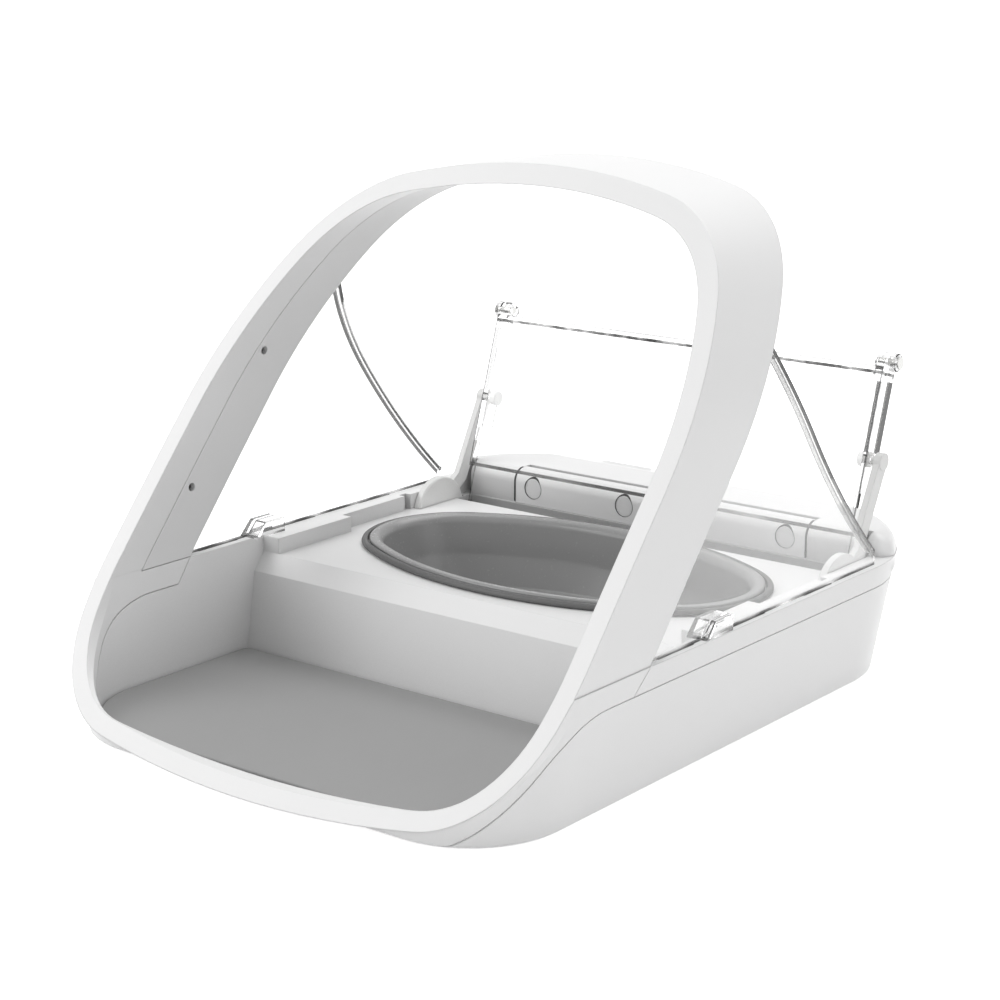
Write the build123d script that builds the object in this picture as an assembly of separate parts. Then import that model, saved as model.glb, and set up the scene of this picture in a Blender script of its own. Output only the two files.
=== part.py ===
from build123d import *
import os
from math import atan2, cos, degrees, hypot, pi, radians, sin, tan

# Microchip pet feeder with its lid standing open.
# Millimetres. X is the width, Y runs from the front toe to the back, Z is up.
# Everything is laid out from the front toe at y = 0, and the last step moves it
# so that the origin is the middle of the footprint, on the floor.

# ---- Overall size ----
WIDTH = 230.0
DEPTH = 300.0
HEIGHT = 207.0
FOOT_HEIGHT = 2.0
WALL = 2.0
SEAM_GAP = 0.3
HOUSING_FIT = 0.15

# ---- Entry hoop: a three-centred arch, leaning back ----
HOOP_RUN = 177.4
HOOP_BOW = 3.0
HOOP_DEPTH = 43.5
RIM_WIDTH = 7.5
HOOP_SKIN = 2.4
HOOP_TOP_RADII = (WIDTH * 1.274, WIDTH * 0.252)
HOOP_TOP_TURNS = (12.2, 64.3)
HOOP_TOE_RADII = (WIDTH * 2.35, WIDTH * 0.196)
HOOP_TOE_TURNS = (8.0, 78.0)
TOE_THICKNESS = 5.8
RIM_DEPTH = 10.0
SEAM_ROUND = 40.0
LINER_START = 17.0
LINER_FOOT = 52.0
HOOP_END_WALL = 3.0
COIL_START = 30.0
COIL_DEPTH = 6.0
COIL_THICK = 1.2

# ---- Base ----
BASE_FRONT = 8.0
FLARE = 8.7
BASE_HALF_WIDTH = WIDTH / 2 - FLARE
FRONT_CORNER = 38.0
REAR_CORNER = 48.0
RAIL_TOP = 52.0
SEAM_Z = 42.5
UNDERSIDE_EDGE = 1.2
DRAFT = degrees(atan2(FLARE, RAIL_TOP - FOOT_HEIGHT))
BASE_REAR = DEPTH - FLARE

# ---- Feeding bay, riser and platform ----
FLOOR_Z = 6.4
FLOOR_SKIN = 2.0
BAY_HALF = WIDTH / 2 - 11.6
BAY_DRAFT = 4.8
BAY_FRONT = 11.0
BAY_CORNER = 36.0
DRUM_FRONT = DEPTH - 46.0
PLATFORM_FRONT = DRUM_FRONT - 126.5
RISER_FOOT = PLATFORM_FRONT - 15.0
RISER_TOP = PLATFORM_FRONT - 6.5
RISER_TOP_Z = 38.5
PLATFORM_Z = 45.5
RAIL_INNER = WIDTH / 2 - 12.0
LEDGE_WIDTH = 4.7
LEDGE_END = DRUM_FRONT - 82.0
RISER_SKIN = 2.4
RAIL_NOTCH = (DRUM_FRONT - 41.5, DRUM_FRONT - 37.5)
RAIL_NOTCH_DEPTH = 3.0

# ---- Rear deck and its drum-shaped cover ----
DECK_TOP = 60.5
DECK_ROOF = 3.0
DECK_START = 60.0
DECK_EDGE = 8.0
DRUM_ROUND = 6.0
COVER_HALF = WIDTH / 2 - 41.0
COVER_SKIN = 2.4
COVER_BACK = DRUM_FRONT + 8.0
SLOT_WIDTH = 3.2
SLOT_DEPTH = 7.0
CAP_DIAMETER = 9.0
CAP_POSITIONS = (10.0 - COVER_HALF, -15.0, 15.0, COVER_HALF - 10.0)
CAP_Z = 53.0

# ---- Lid: turns about the hub axis ----
HUB_Y = DRUM_FRONT - 20.5
HUB_Z = 41.5
LID_LEAN = 17.7
LID_OFFSET = 12.1
LID_SHEET = 2.0
LID_HALF = WIDTH / 2 - 17.4
LID_TAIL = 14.5
LID_REACH = 91.5
FLANGE_DEPTH = 9.5
FLANGE_THICK = 2.0
FLANGE_FROM = 40.0
ROLLER_REACH = LID_REACH + 2.5
ROLLER_BEHIND = 4.4
ROLLER_RADIUS = 3.8
ROLLER_WIDTH = 3.4
ROLLER_BORE = 1.6
AXLE_RADIUS = 1.5
PIN_REACH = 54.1
PIN_BEHIND = 5.15
PIN_RADIUS = 1.8
PIN_HEAD_RADIUS = 3.2
ARM_OUTER = LID_HALF + 5.1
ARM_THICK = 2.9
ARM_WIDTH = 6.2
ARM_KNEE = (HUB_Y + 15.5, HUB_Z + 13.1)
ARM_SLOT_BACK = 8.0
DISC_RADIUS = 15.5
DISC_INNER = LID_HALF + 1.7
WELL_OUTER = 20.2
WELL_INNER = 10.6
WELL_WALL = 2.0
WELL_HALF = LID_HALF + 1.0
RUN = 0.3

# ---- Hub axles, bushes and the worm drive ----
STUB_RADIUS = 3.0
STUB_END = ARM_OUTER + 7.5
BUSH_LENGTH = 2.4
BUSH_OUTER = 4.4
BUSH_START = ARM_OUTER + 4.9
GEAR_MODULE = 0.75
GEAR_TEETH = 20
GEAR_START = ARM_OUTER + 1.7
GEAR_WIDTH = 2.6
WORM_PITCH_RADIUS = 2.15
WORM_LENGTH = 11.0
WORM_SHAFT = 1.0
WORM_X = GEAR_START + GEAR_WIDTH / 2
WORM_Z = HUB_Z - GEAR_MODULE * GEAR_TEETH / 2 - WORM_PITCH_RADIUS
WORM_LEAD = pi * GEAR_MODULE
MOTOR_SIZE = (10.0, 25.0, 12.0)
MOTOR_FRONT = HUB_Y - 43.5
MOTOR_OFFSET = 3.2

# ---- Bowl and mat ----
BOWL_HALF = WIDTH / 2 - 22.0
BOWL_FRONT = PLATFORM_FRONT + 6.0
BOWL_BACK = DRUM_FRONT - 12.0
BOWL_END_RADIUS = 40.0
BOWL_LIP = 7.0
BOWL_RIM_Z = 48.6
BOWL_WALL = 2.2
BOWL_FLOOR_Z = 17.0
BOWL_DRAFT = 14.0
BOWL_WELL_CLEAR = 1.2
SEAL_WIDTH = 1.6
MAT_THICK = 2.2
MAT_CLEAR = 0.5

# ---- Side shields ----
SHIELD_INSET = 2.4
SHIELD_THICK = 2.2
SHIELD_X = WIDTH / 2 - SHIELD_INSET - SHIELD_THICK / 2
SHIELD_TOP_Z = HEIGHT - 55.0
SHIELD_OVERLAP = 0.4
SHIELD_END = (HUB_Y + 10.5, 58.0)
SHIELD_SAG = 5.0
SHIELD_FLANGE = 5.0
SHIELD_FLANGE_THICK = 1.8
TAB_SPANS = (
    (94.0, 116.0),
    (DRUM_FRONT - 112.0, DRUM_FRONT - 91.0),
    (DRUM_FRONT - 63.0, DRUM_FRONT - 43.0),
)
TAB_DEPTH = 6.0
TAB_CLEAR = 0.25
HOOD_Y = (PLATFORM_FRONT - 6.5, PLATFORM_FRONT + 10.5)
HOOD_X = (SHIELD_X - 6.9, SHIELD_X + 3.3)
HOOD_HEIGHT = 6.0
HOOD_WALL = 1.2
HOOD_SLOPE = 6.0

# ---- Batteries ----
CELL_RADIUS = 13.1
CELL_LENGTH = 48.0
CELL_NUB = 1.5
CELL_NUB_RADIUS = 3.0
CELL_Y = BASE_REAR - 17.3
CELL_POSITIONS = (19.5, 46.5)
CELL_FOOT = 6.2
CELL_TOP = CELL_FOOT + CELL_LENGTH
DOOR_X = (4.5, 61.5)
DOOR_Y = (CELL_Y - 14.2, CELL_Y + 13.2)
DOOR_THICK = 2.0
DOOR_CLEAR = 0.3
CONTACT_WIDTH = 10.0
SPRING_RADIUS = 5.0
SPRING_TOP_RADIUS = 3.0
SPRING_WIRE = 0.8

# ---- Board, buttons and status light ----
BUTTON_POSITIONS = {"button_add_pet": -32.0, "button_training": 0.0, "button_lid": 32.0}
BUTTON_RADIUS = 5.5
BUTTON_Z = 33.0
BUTTON_PROUD = 1.4
BUTTON_LENGTH = 6.2
BUTTON_CLEAR = 0.3
BUTTON_FLANGE = 1.1
LENS_X = 52.0
LENS_RADIUS = 2.0
BOARD_BACK = BASE_REAR - 2.3
BOARD_THICK = 1.6
BOARD_HALF = 58.0
BOARD_Z = (14.0, 41.0)
BOARD_POSTS = (-50.0, 50.0)
BOARD_POST_Z = 20.0
BOARD_POST_RADIUS = 3.0
SWITCH_SIZE = (6.0, 1.6, 6.0)

# ---- Screws, bosses and feet ----
BOSS_POSITIONS = (
    (WIDTH / 2 - 18.0, PLATFORM_FRONT + 10.5),
    (WIDTH / 2 - 37.0, BASE_REAR - 19.3),
)
BOSS_RADIUS = 4.2
SCREW_RADIUS = 1.5
SCREW_HEAD_RADIUS = 2.8
SCREW_HEAD = 2.0
SCREW_RECESS_Z = 10.0
BOSS_SPLIT = 20.0
SCREW_TIP = 34.0
LINER_SCREWS_Z = (HEIGHT - 126.9, HEIGHT - 78.1)
LINER_SCREW_DEPTH = 22.6
LINER_SCREW_HOLE = 1.7
LINER_BOSS_RADIUS = 3.2
FOOT_RADIUS = 8.0
FOOT_RECESS = 0.8
FOOT_POSITIONS = (
    (WIDTH / 2 - 41.0, BASE_FRONT + 28.0),
    (WIDTH / 2 - 21.0, PLATFORM_FRONT + 30.5),
    (WIDTH / 2 - 35.0, BASE_REAR - 35.3),
)

FAR = 400.0
CENTRE_SHIFT = Location((0, -DEPTH / 2, 0))


# ---------------------------------------------------------------- helpers
def block(x0, x1, y0, y1, z0, z1):
    """A box from its low and high corners."""
    size = (abs(x1 - x0), abs(y1 - y0), abs(z1 - z0))
    return Pos((x0 + x1) / 2, (y0 + y1) / 2, (z0 + z1) / 2) * Box(*size)


def rod_x(x0, x1, y, z, radius):
    """A cylinder along X."""
    turned = Rot(0, 90, 0) * Cylinder(radius, abs(x1 - x0))
    return Pos((x0 + x1) / 2, y, z) * turned


def rod_y(y0, y1, x, z, radius):
    """A cylinder along Y."""
    turned = Rot(90, 0, 0) * Cylinder(radius, abs(y1 - y0))
    return Pos(x, (y0 + y1) / 2, z) * turned


def rod_z(z0, z1, x, y, radius):
    """A cylinder along Z."""
    return Pos(x, y, (z0 + z1) / 2) * Cylinder(radius, abs(z1 - z0))


def side_prism(points, x0, x1):
    """A closed outline of (y, z) points, drawn out along X."""
    face = make_face(Plane.YZ * Polyline(*points, close=True))
    return Pos(x0, 0, 0) * extrude(face, amount=x1 - x0, dir=(1, 0, 0))


def join(shapes):
    """The shapes fused into one."""
    shapes = list(shapes)
    whole = shapes[0]
    for shape in shapes[1:]:
        whole = whole + shape
    return whole


def front_y(z):
    """Where the hoop's front face stands at height z: a straight lean with a slight bow."""
    share = z / HEIGHT
    return HOOP_RUN * share - 4 * HOOP_BOW * share * (1 - share)


def hoop_slab(start, end):
    """All that lies between two copies of the leaning front face, start and end mm behind it."""
    low, middle, high = -12.0, HEIGHT / 2, HEIGHT + 12.0
    near = [(front_y(z) + start, z) for z in (low, middle, high)]
    far = [(front_y(z) + end, z) for z in (high, middle, low)]
    edges = [
        ThreePointArc(*near),
        Line(near[2], far[0]),
        ThreePointArc(*far),
        Line(far[2], near[0]),
    ]
    face = make_face(Plane.YZ * Curve(edges))
    return extrude(face, amount=WIDTH, both=True)


def hoop_outline(inset, toe_z):
    """The hoop's outline on XZ, moved in by inset, with its lowest point at toe_z."""
    half = WIDTH / 2 - inset
    ends, arcs = [], []
    for radii, turns, level, up in (
        (HOOP_TOP_RADII, HOOP_TOP_TURNS, HEIGHT - inset, -1),
        (HOOP_TOE_RADII, HOOP_TOE_TURNS, toe_z, 1),
    ):
        crown, shoulder = (radius - inset for radius in radii)
        first, second = (radians(turn) for turn in turns)
        x1 = crown * sin(first)
        z1 = crown * (1 - cos(first))
        x2 = x1 + shoulder * (sin(second) - sin(first))
        z2 = z1 + shoulder * (cos(first) - cos(second))
        flank = (half - x2) / (1 - sin(second))
        z3 = z2 + flank * cos(second)
        m1, m2, m3 = first / 2, (first + second) / 2, (second + pi / 2) / 2
        way = [
            (crown * sin(m1), crown * (1 - cos(m1))),
            (x1, z1),
            (x1 + shoulder * (sin(m2) - sin(first)), z1 + shoulder * (cos(first) - cos(m2))),
            (x2, z2),
            (x2 + flank * (sin(m3) - sin(second)), z2 + flank * (cos(second) - cos(m3))),
            (half, z3),
        ]
        way = [(x, level + up * z) for x, z in way]
        ends.append(way[5])
        for side in (1, -1):
            here = [(side * x, z) for x, z in way]
            arcs.append(ThreePointArc((0, level), here[0], here[1]))
            arcs.append(ThreePointArc(here[1], here[2], here[3]))
            arcs.append(ThreePointArc(here[3], here[4], here[5]))
    for side in (1, -1):
        arcs.append(Line((side * ends[0][0], ends[0][1]), (side * ends[1][0], ends[1][1])))
    return make_face(Curve(Wire(arcs).edges()))


def hoop_prism(inset, toe_z):
    """The hoop outline drawn out over the whole depth."""
    face = Plane.XZ * hoop_outline(inset, toe_z)
    return Pos(0, -30, 0) * extrude(face, amount=-(DEPTH + 30))


def footprint(inset):
    """The base's plan at its underside, moved in by inset."""
    half = BASE_HALF_WIDTH - inset
    y0, y1 = BASE_FRONT + inset, BASE_REAR - inset
    plan = Polyline((-half, y0), (half, y0), (half, y1), (-half, y1), close=True)
    face = make_face(plan)
    front = face.vertices().group_by(Axis.Y)[0]
    face = fillet(front, FRONT_CORNER - inset)
    rear = face.vertices().group_by(Axis.Y)[-1]
    return fillet(rear, REAR_CORNER - inset)


def base_prism(inset, z0, z1):
    """The flared base between two heights, moved in by inset."""
    whole = extrude(Pos(0, 0, FOOT_HEIGHT) * footprint(inset), amount=RAIL_TOP - FOOT_HEIGHT, taper=-DRAFT)
    if inset == 0:
        whole = chamfer(whole.faces().sort_by(Axis.Z)[0].edges(), UNDERSIDE_EDGE)
    return whole & block(-FAR, FAR, -FAR, FAR, z0, z1)


def bay_plan(inset, y_end):
    """The feeding bay's plan: a straight back and rounded front corners."""
    half, y0 = BAY_HALF - inset, BAY_FRONT + inset
    face = make_face(Polyline((-half, y0), (half, y0), (half, y_end), (-half, y_end), close=True))
    front = face.vertices().group_by(Axis.Y)[0]
    return fillet(front, BAY_CORNER - inset)


def bay_block(inset, z0, z1):
    """The bay's plan drawn up between two heights, its walls leaning outwards."""
    plan = bay_plan(inset, PLATFORM_FRONT + RISER_SKIN + 4)
    return extrude(Pos(0, 0, z0) * plan, amount=z1 - z0, taper=-BAY_DRAFT)


def seam_zone(gap):
    """All that lies below the housing's seam: level along the sides, then down behind the rim."""
    low = -12.0
    start = RIM_DEPTH - gap / sin(atan2(HEIGHT, HOOP_RUN))
    corner = (front_y(SEAM_Z) + start, SEAM_Z + gap)
    points = [(front_y(low) + start, low), corner, (DEPTH * 2, SEAM_Z + gap), (DEPTH * 2, low)]
    face = make_face(Plane.YZ * Polyline(*points, close=True))
    turn = face.vertices().sort_by_distance(Vector(0, *corner))[0]
    return extrude(fillet(turn, SEAM_ROUND), amount=WIDTH, both=True)


def bay_cavity():
    """The room over the mat: the bay plan up to the rails, ended by the sloping riser."""
    room = bay_block(0, FLOOR_Z, RAIL_TOP + 1)
    riser = [
        (RISER_FOOT, FLOOR_Z),
        (RISER_TOP, RISER_TOP_Z),
        (PLATFORM_FRONT, PLATFORM_Z),
        (PLATFORM_FRONT, RAIL_TOP + 2),
        (0, RAIL_TOP + 2),
        (0, FLOOR_Z),
    ]
    return room & side_prism(riser, -WIDTH, WIDTH)


def lid_point(reach, behind):
    """(y, z) of a lid point: reach along the sheet, behind it, with the lid standing open."""
    lean = radians(LID_LEAN)
    out = LID_OFFSET + behind
    y = HUB_Y + out * cos(lean) + reach * sin(lean)
    z = HUB_Z - out * sin(lean) + reach * cos(lean)
    return (y, z)


def lid_plate(reach0, reach1, behind0, behind1, x0, x1):
    """A flat bar of the lid between four of its own coordinates."""
    corners = [
        lid_point(reach0, behind0),
        lid_point(reach1, behind0),
        lid_point(reach1, behind1),
        lid_point(reach0, behind1),
    ]
    return side_prism(corners, x0, x1)


def sector(radius_in, radius_out, angle0, angle1, x0, x1):
    """Part of a ring about the hub axis, angles in degrees up from the rear."""
    def at(radius, angle):
        turn = radians(angle)
        return (HUB_Y + radius * cos(turn), HUB_Z + radius * sin(turn))

    middle = (angle0 + angle1) / 2
    edges = [
        ThreePointArc(at(radius_out, angle0), at(radius_out, middle), at(radius_out, angle1)),
        Line(at(radius_out, angle1), at(radius_in, angle1)),
        ThreePointArc(at(radius_in, angle1), at(radius_in, middle), at(radius_in, angle0)),
        Line(at(radius_in, angle0), at(radius_out, angle0)),
    ]
    face = make_face(Plane.YZ * Curve(edges))
    return Pos(x0, 0, 0) * extrude(face, amount=x1 - x0, dir=(1, 0, 0))


def rear_wall_y(z):
    """The outside of the flared rear wall at height z."""
    return BASE_REAR + (z - FOOT_HEIGHT) * tan(radians(DRAFT))


def oval(half, y0, y1, end_radius):
    """A four-centred oval in plan: end arcs of end_radius, and broad arcs that meet them smoothly."""
    middle, depth = (y0 + y1) / 2, (y1 - y0) / 2
    reach = half - end_radius
    broad = (reach**2 + depth**2 - end_radius**2) / (2 * (depth - end_radius))
    share = broad / (broad - end_radius)
    x, y = reach * share, (broad - depth) * (share - 1)
    edges = []
    for side in (1, -1):
        level = middle + side * y
        edges.append(ThreePointArc((-x, level), (0, middle + side * depth), (x, level)))
        edges.append(ThreePointArc((side * x, middle - y), (side * half, middle), (side * x, middle + y)))
    return make_face(Curve(edges))


def bowl_plan(inset):
    """The bowl's oval, moved in by inset."""
    return oval(BOWL_HALF - inset, BOWL_FRONT + inset, BOWL_BACK - inset, BOWL_END_RADIUS - inset)


# ---------------------------------------------------------------- hoop
RING_OUTER = hoop_prism(0, FOOT_HEIGHT)
RING_INNER = hoop_prism(RIM_WIDTH, FOOT_HEIGHT + TOE_THICKNESS)
CHANNEL_OUTER = hoop_prism(HOOP_SKIN, FOOT_HEIGHT + HOOP_SKIN)
CHANNEL_INNER = hoop_prism(RIM_WIDTH - HOOP_SKIN, FOOT_HEIGHT + HOOP_SKIN + 1)
ABOVE_LINER_FOOT = block(-FAR, FAR, -FAR, FAR, LINER_FOOT, HEIGHT + 20)
BAY = bay_cavity()


def liner_screw_places(side):
    """(side, y, z) of the screws that hold the liner on one side."""
    return [(side, front_y(z) + LINER_SCREW_DEPTH, z) for z in LINER_SCREWS_Z]


def hoop_shell():
    """The hoop's outer skin, front rim and front half of the inner skin, with the toe below."""
    body = (RING_OUTER & hoop_slab(0, HOOP_DEPTH)) + (base_prism(0, 0, RAIL_TOP) & hoop_slab(0, HOOP_DEPTH))
    floor = body & block(-FAR, FAR, -FAR, FAR, 0, FLOOR_Z)
    shell = (body - RING_INNER - BAY) + floor
    shell = shell - seam_zone(SEAM_GAP)
    channel = (CHANNEL_OUTER - CHANNEL_INNER) & hoop_slab(HOOP_END_WALL, LINER_START + 1)
    seat = (CHANNEL_OUTER - RING_INNER) & hoop_slab(LINER_START, HOOP_DEPTH + 1)
    shell = shell - ((channel + seat) & ABOVE_LINER_FOOT)
    for x, y in foot_places():
        shell = shell - rod_z(0, FOOT_HEIGHT + FOOT_RECESS, x, y, FOOT_RADIUS + 0.1)
    skin_inside = WIDTH / 2 - HOOP_SKIN
    for side in (1, -1):
        for _, y, z in liner_screw_places(side):
            boss = rod_x(side * (skin_inside - 1.6), side * (skin_inside + 0.5), y, z, LINER_BOSS_RADIUS)
            hole = rod_x(side * (skin_inside - 3), side * (skin_inside + 0.7), y, z, SCREW_RADIUS * 0.75)
            shell = shell + boss - hole
    return shell


def hoop_liner():
    """The rear half of the hoop's inner skin, which closes the coil channel."""
    skin = (CHANNEL_INNER - RING_INNER) & hoop_slab(LINER_START + SEAM_GAP, HOOP_DEPTH)
    closing = (CHANNEL_OUTER - CHANNEL_INNER) & hoop_slab(HOOP_DEPTH - HOOP_END_WALL, HOOP_DEPTH)
    liner = (skin + closing) & block(-FAR, FAR, -FAR, FAR, LINER_FOOT + SEAM_GAP, HEIGHT + 20)
    liner = liner & hoop_prism(HOOP_SKIN + 0.1, FOOT_HEIGHT)
    inside = WIDTH / 2 - RIM_WIDTH
    for side in (1, -1):
        for _, y, z in liner_screw_places(side):
            liner = liner - rod_x(side * (inside - 3), side * (inside + 5), y, z, LINER_SCREW_HOLE)
    return liner


def antenna_coil():
    """The reader's flat winding, carried round the arch inside the channel."""
    middle = HOOP_SKIN + 0.35
    band = hoop_prism(middle, FOOT_HEIGHT) - hoop_prism(middle + COIL_THICK, FOOT_HEIGHT + COIL_THICK)
    coil = band & hoop_slab(COIL_START, COIL_START + COIL_DEPTH)
    return coil & block(-FAR, FAR, -FAR, FAR, LINER_FOOT + 2, HEIGHT)


def liner_screws():
    """Four small screws that hold the liner to the shell."""
    screws = []
    skin_inside = WIDTH / 2 - HOOP_SKIN
    for side in (1, -1):
        for _, y, z in liner_screw_places(side):
            shank = rod_x(side * (skin_inside - 1.6), side * (skin_inside + 0.5), y, z, SCREW_RADIUS * 0.7)
            head = rod_x(side * (skin_inside - 2.5), side * (skin_inside - 1.65), y, z, SCREW_RADIUS)
            neck = rod_x(side * (skin_inside - 1.7), side * (skin_inside - 1.5), y, z, SCREW_RADIUS * 0.7)
            screws.append(shank + neck + head)
    return Compound(children=[solid for screw in screws for solid in screw.solids()])


# ---------------------------------------------------------------- base and deck
def boss_places():
    """(x, y) of the four housing bosses."""
    return [(side * x, y) for x, y in BOSS_POSITIONS for side in (1, -1)]


def lower_housing():
    """The bottom tray: a flared shell with screw posts, battery door openings and button holes."""
    outer = base_prism(0, 0, SEAM_Z + 1) & seam_zone(0)
    inner = base_prism(WALL, FOOT_HEIGHT + WALL, SEAM_Z + 1)
    shell = outer - inner
    for x, y in boss_places():
        post = rod_z(FOOT_HEIGHT + 0.5, BOSS_SPLIT, x, y, BOSS_RADIUS)
        shell = shell + (post & base_prism(0.2, 0, SEAM_Z))
    for x, y in boss_places():
        shell = shell - rod_z(0, SCREW_RECESS_Z, x, y, SCREW_HEAD_RADIUS + 0.3)
        shell = shell - rod_z(0, BOSS_SPLIT + 1, x, y, SCREW_RADIUS + 0.15)
    for side in (1, -1):
        x0, x1 = sorted((side * DOOR_X[0], side * DOOR_X[1]))
        shell = shell - block(x0, x1, DOOR_Y[0], DOOR_Y[1], 0, FOOT_HEIGHT + WALL + 0.1)
        guide = block(x0 - WALL, x1 + WALL, DOOR_Y[0] - WALL / 2, DOOR_Y[1], FOOT_HEIGHT + 0.5, CELL_FOOT + 8)
        guide = guide - block(x0, x1, DOOR_Y[0], DOOR_Y[1] + WALL, 0, CELL_FOOT + 9)
        shell = shell + (guide & base_prism(0.2, 0, SEAM_Z))
        tip_x = side * (DOOR_X[0] + DOOR_X[1]) / 2
        pad = block(tip_x - 4, tip_x + 4, DOOR_Y[0] - 8, DOOR_Y[0] + 0.05, FOOT_HEIGHT + 0.5, FOOT_HEIGHT + 7)
        shell = shell + pad
    for x in BOARD_POSTS:
        post = rod_y(BOARD_BACK + 0.2, DEPTH + 5, x, BOARD_POST_Z, BOARD_POST_RADIUS)
        shell = shell + (post & base_prism(0.2, 0, SEAM_Z))
    for x in BUTTON_POSITIONS.values():
        shell = shell - rod_y(DEPTH - 14, DEPTH + 5, x, BUTTON_Z, BUTTON_RADIUS + BUTTON_CLEAR)
    shell = shell - rod_y(DEPTH - 14, DEPTH + 5, LENS_X, BUTTON_Z, LENS_RADIUS + 0.1)
    for x, y in foot_places():
        shell = shell - rod_z(0, FOOT_HEIGHT + FOOT_RECESS, x, y, FOOT_RADIUS + 0.1)
    return shell


def deck_hull():
    """The deck's outside: rails all round and the raised rear block with its drum front."""
    rails = base_prism(0, SEAM_Z + SEAM_GAP, RAIL_TOP)
    level = RAIL_TOP - 2
    grow = (level - FOOT_HEIGHT) * tan(radians(DRAFT))
    half, y1 = BASE_HALF_WIDTH + grow, BASE_REAR + grow
    plan = make_face(Polyline((-half, DECK_START), (half, DECK_START), (half, y1), (-half, y1), close=True))
    plan = fillet(plan.vertices().group_by(Axis.Y)[-1], REAR_CORNER + grow)
    raised = extrude(Pos(0, 0, level - 4) * plan, amount=DECK_TOP - level + 4)
    top = raised.faces().sort_by(Axis.Z)[-1]
    rim = [edge for edge in top.edges() if edge.center().Y > DECK_START + 1]
    raised = fillet(rim, DECK_EDGE)
    raised = raised & block(-FAR, FAR, DRUM_FRONT, FAR, SEAM_Z + SEAM_GAP, DECK_TOP)
    brow = raised.edges().filter_by(Axis.X).filter_by_position(Axis.Y, DRUM_FRONT - 0.1, DRUM_FRONT + 0.1)
    raised = fillet(brow.sort_by(Axis.Z)[-1], DRUM_ROUND)
    return rails + raised


def tab_slots(side, clear, z_low):
    """The shield's tabs (clear = 0) or the rail slots that take them."""
    half = SHIELD_THICK / 2 + clear
    slots = []
    for y0, y1 in TAB_SPANS:
        x0, x1 = sorted((side * (SHIELD_X - half), side * (SHIELD_X + half)))
        slots.append(block(x0, x1, y0 - clear, y1 + clear, z_low, RAIL_TOP + 0.2))
    return join(slots)


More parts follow.
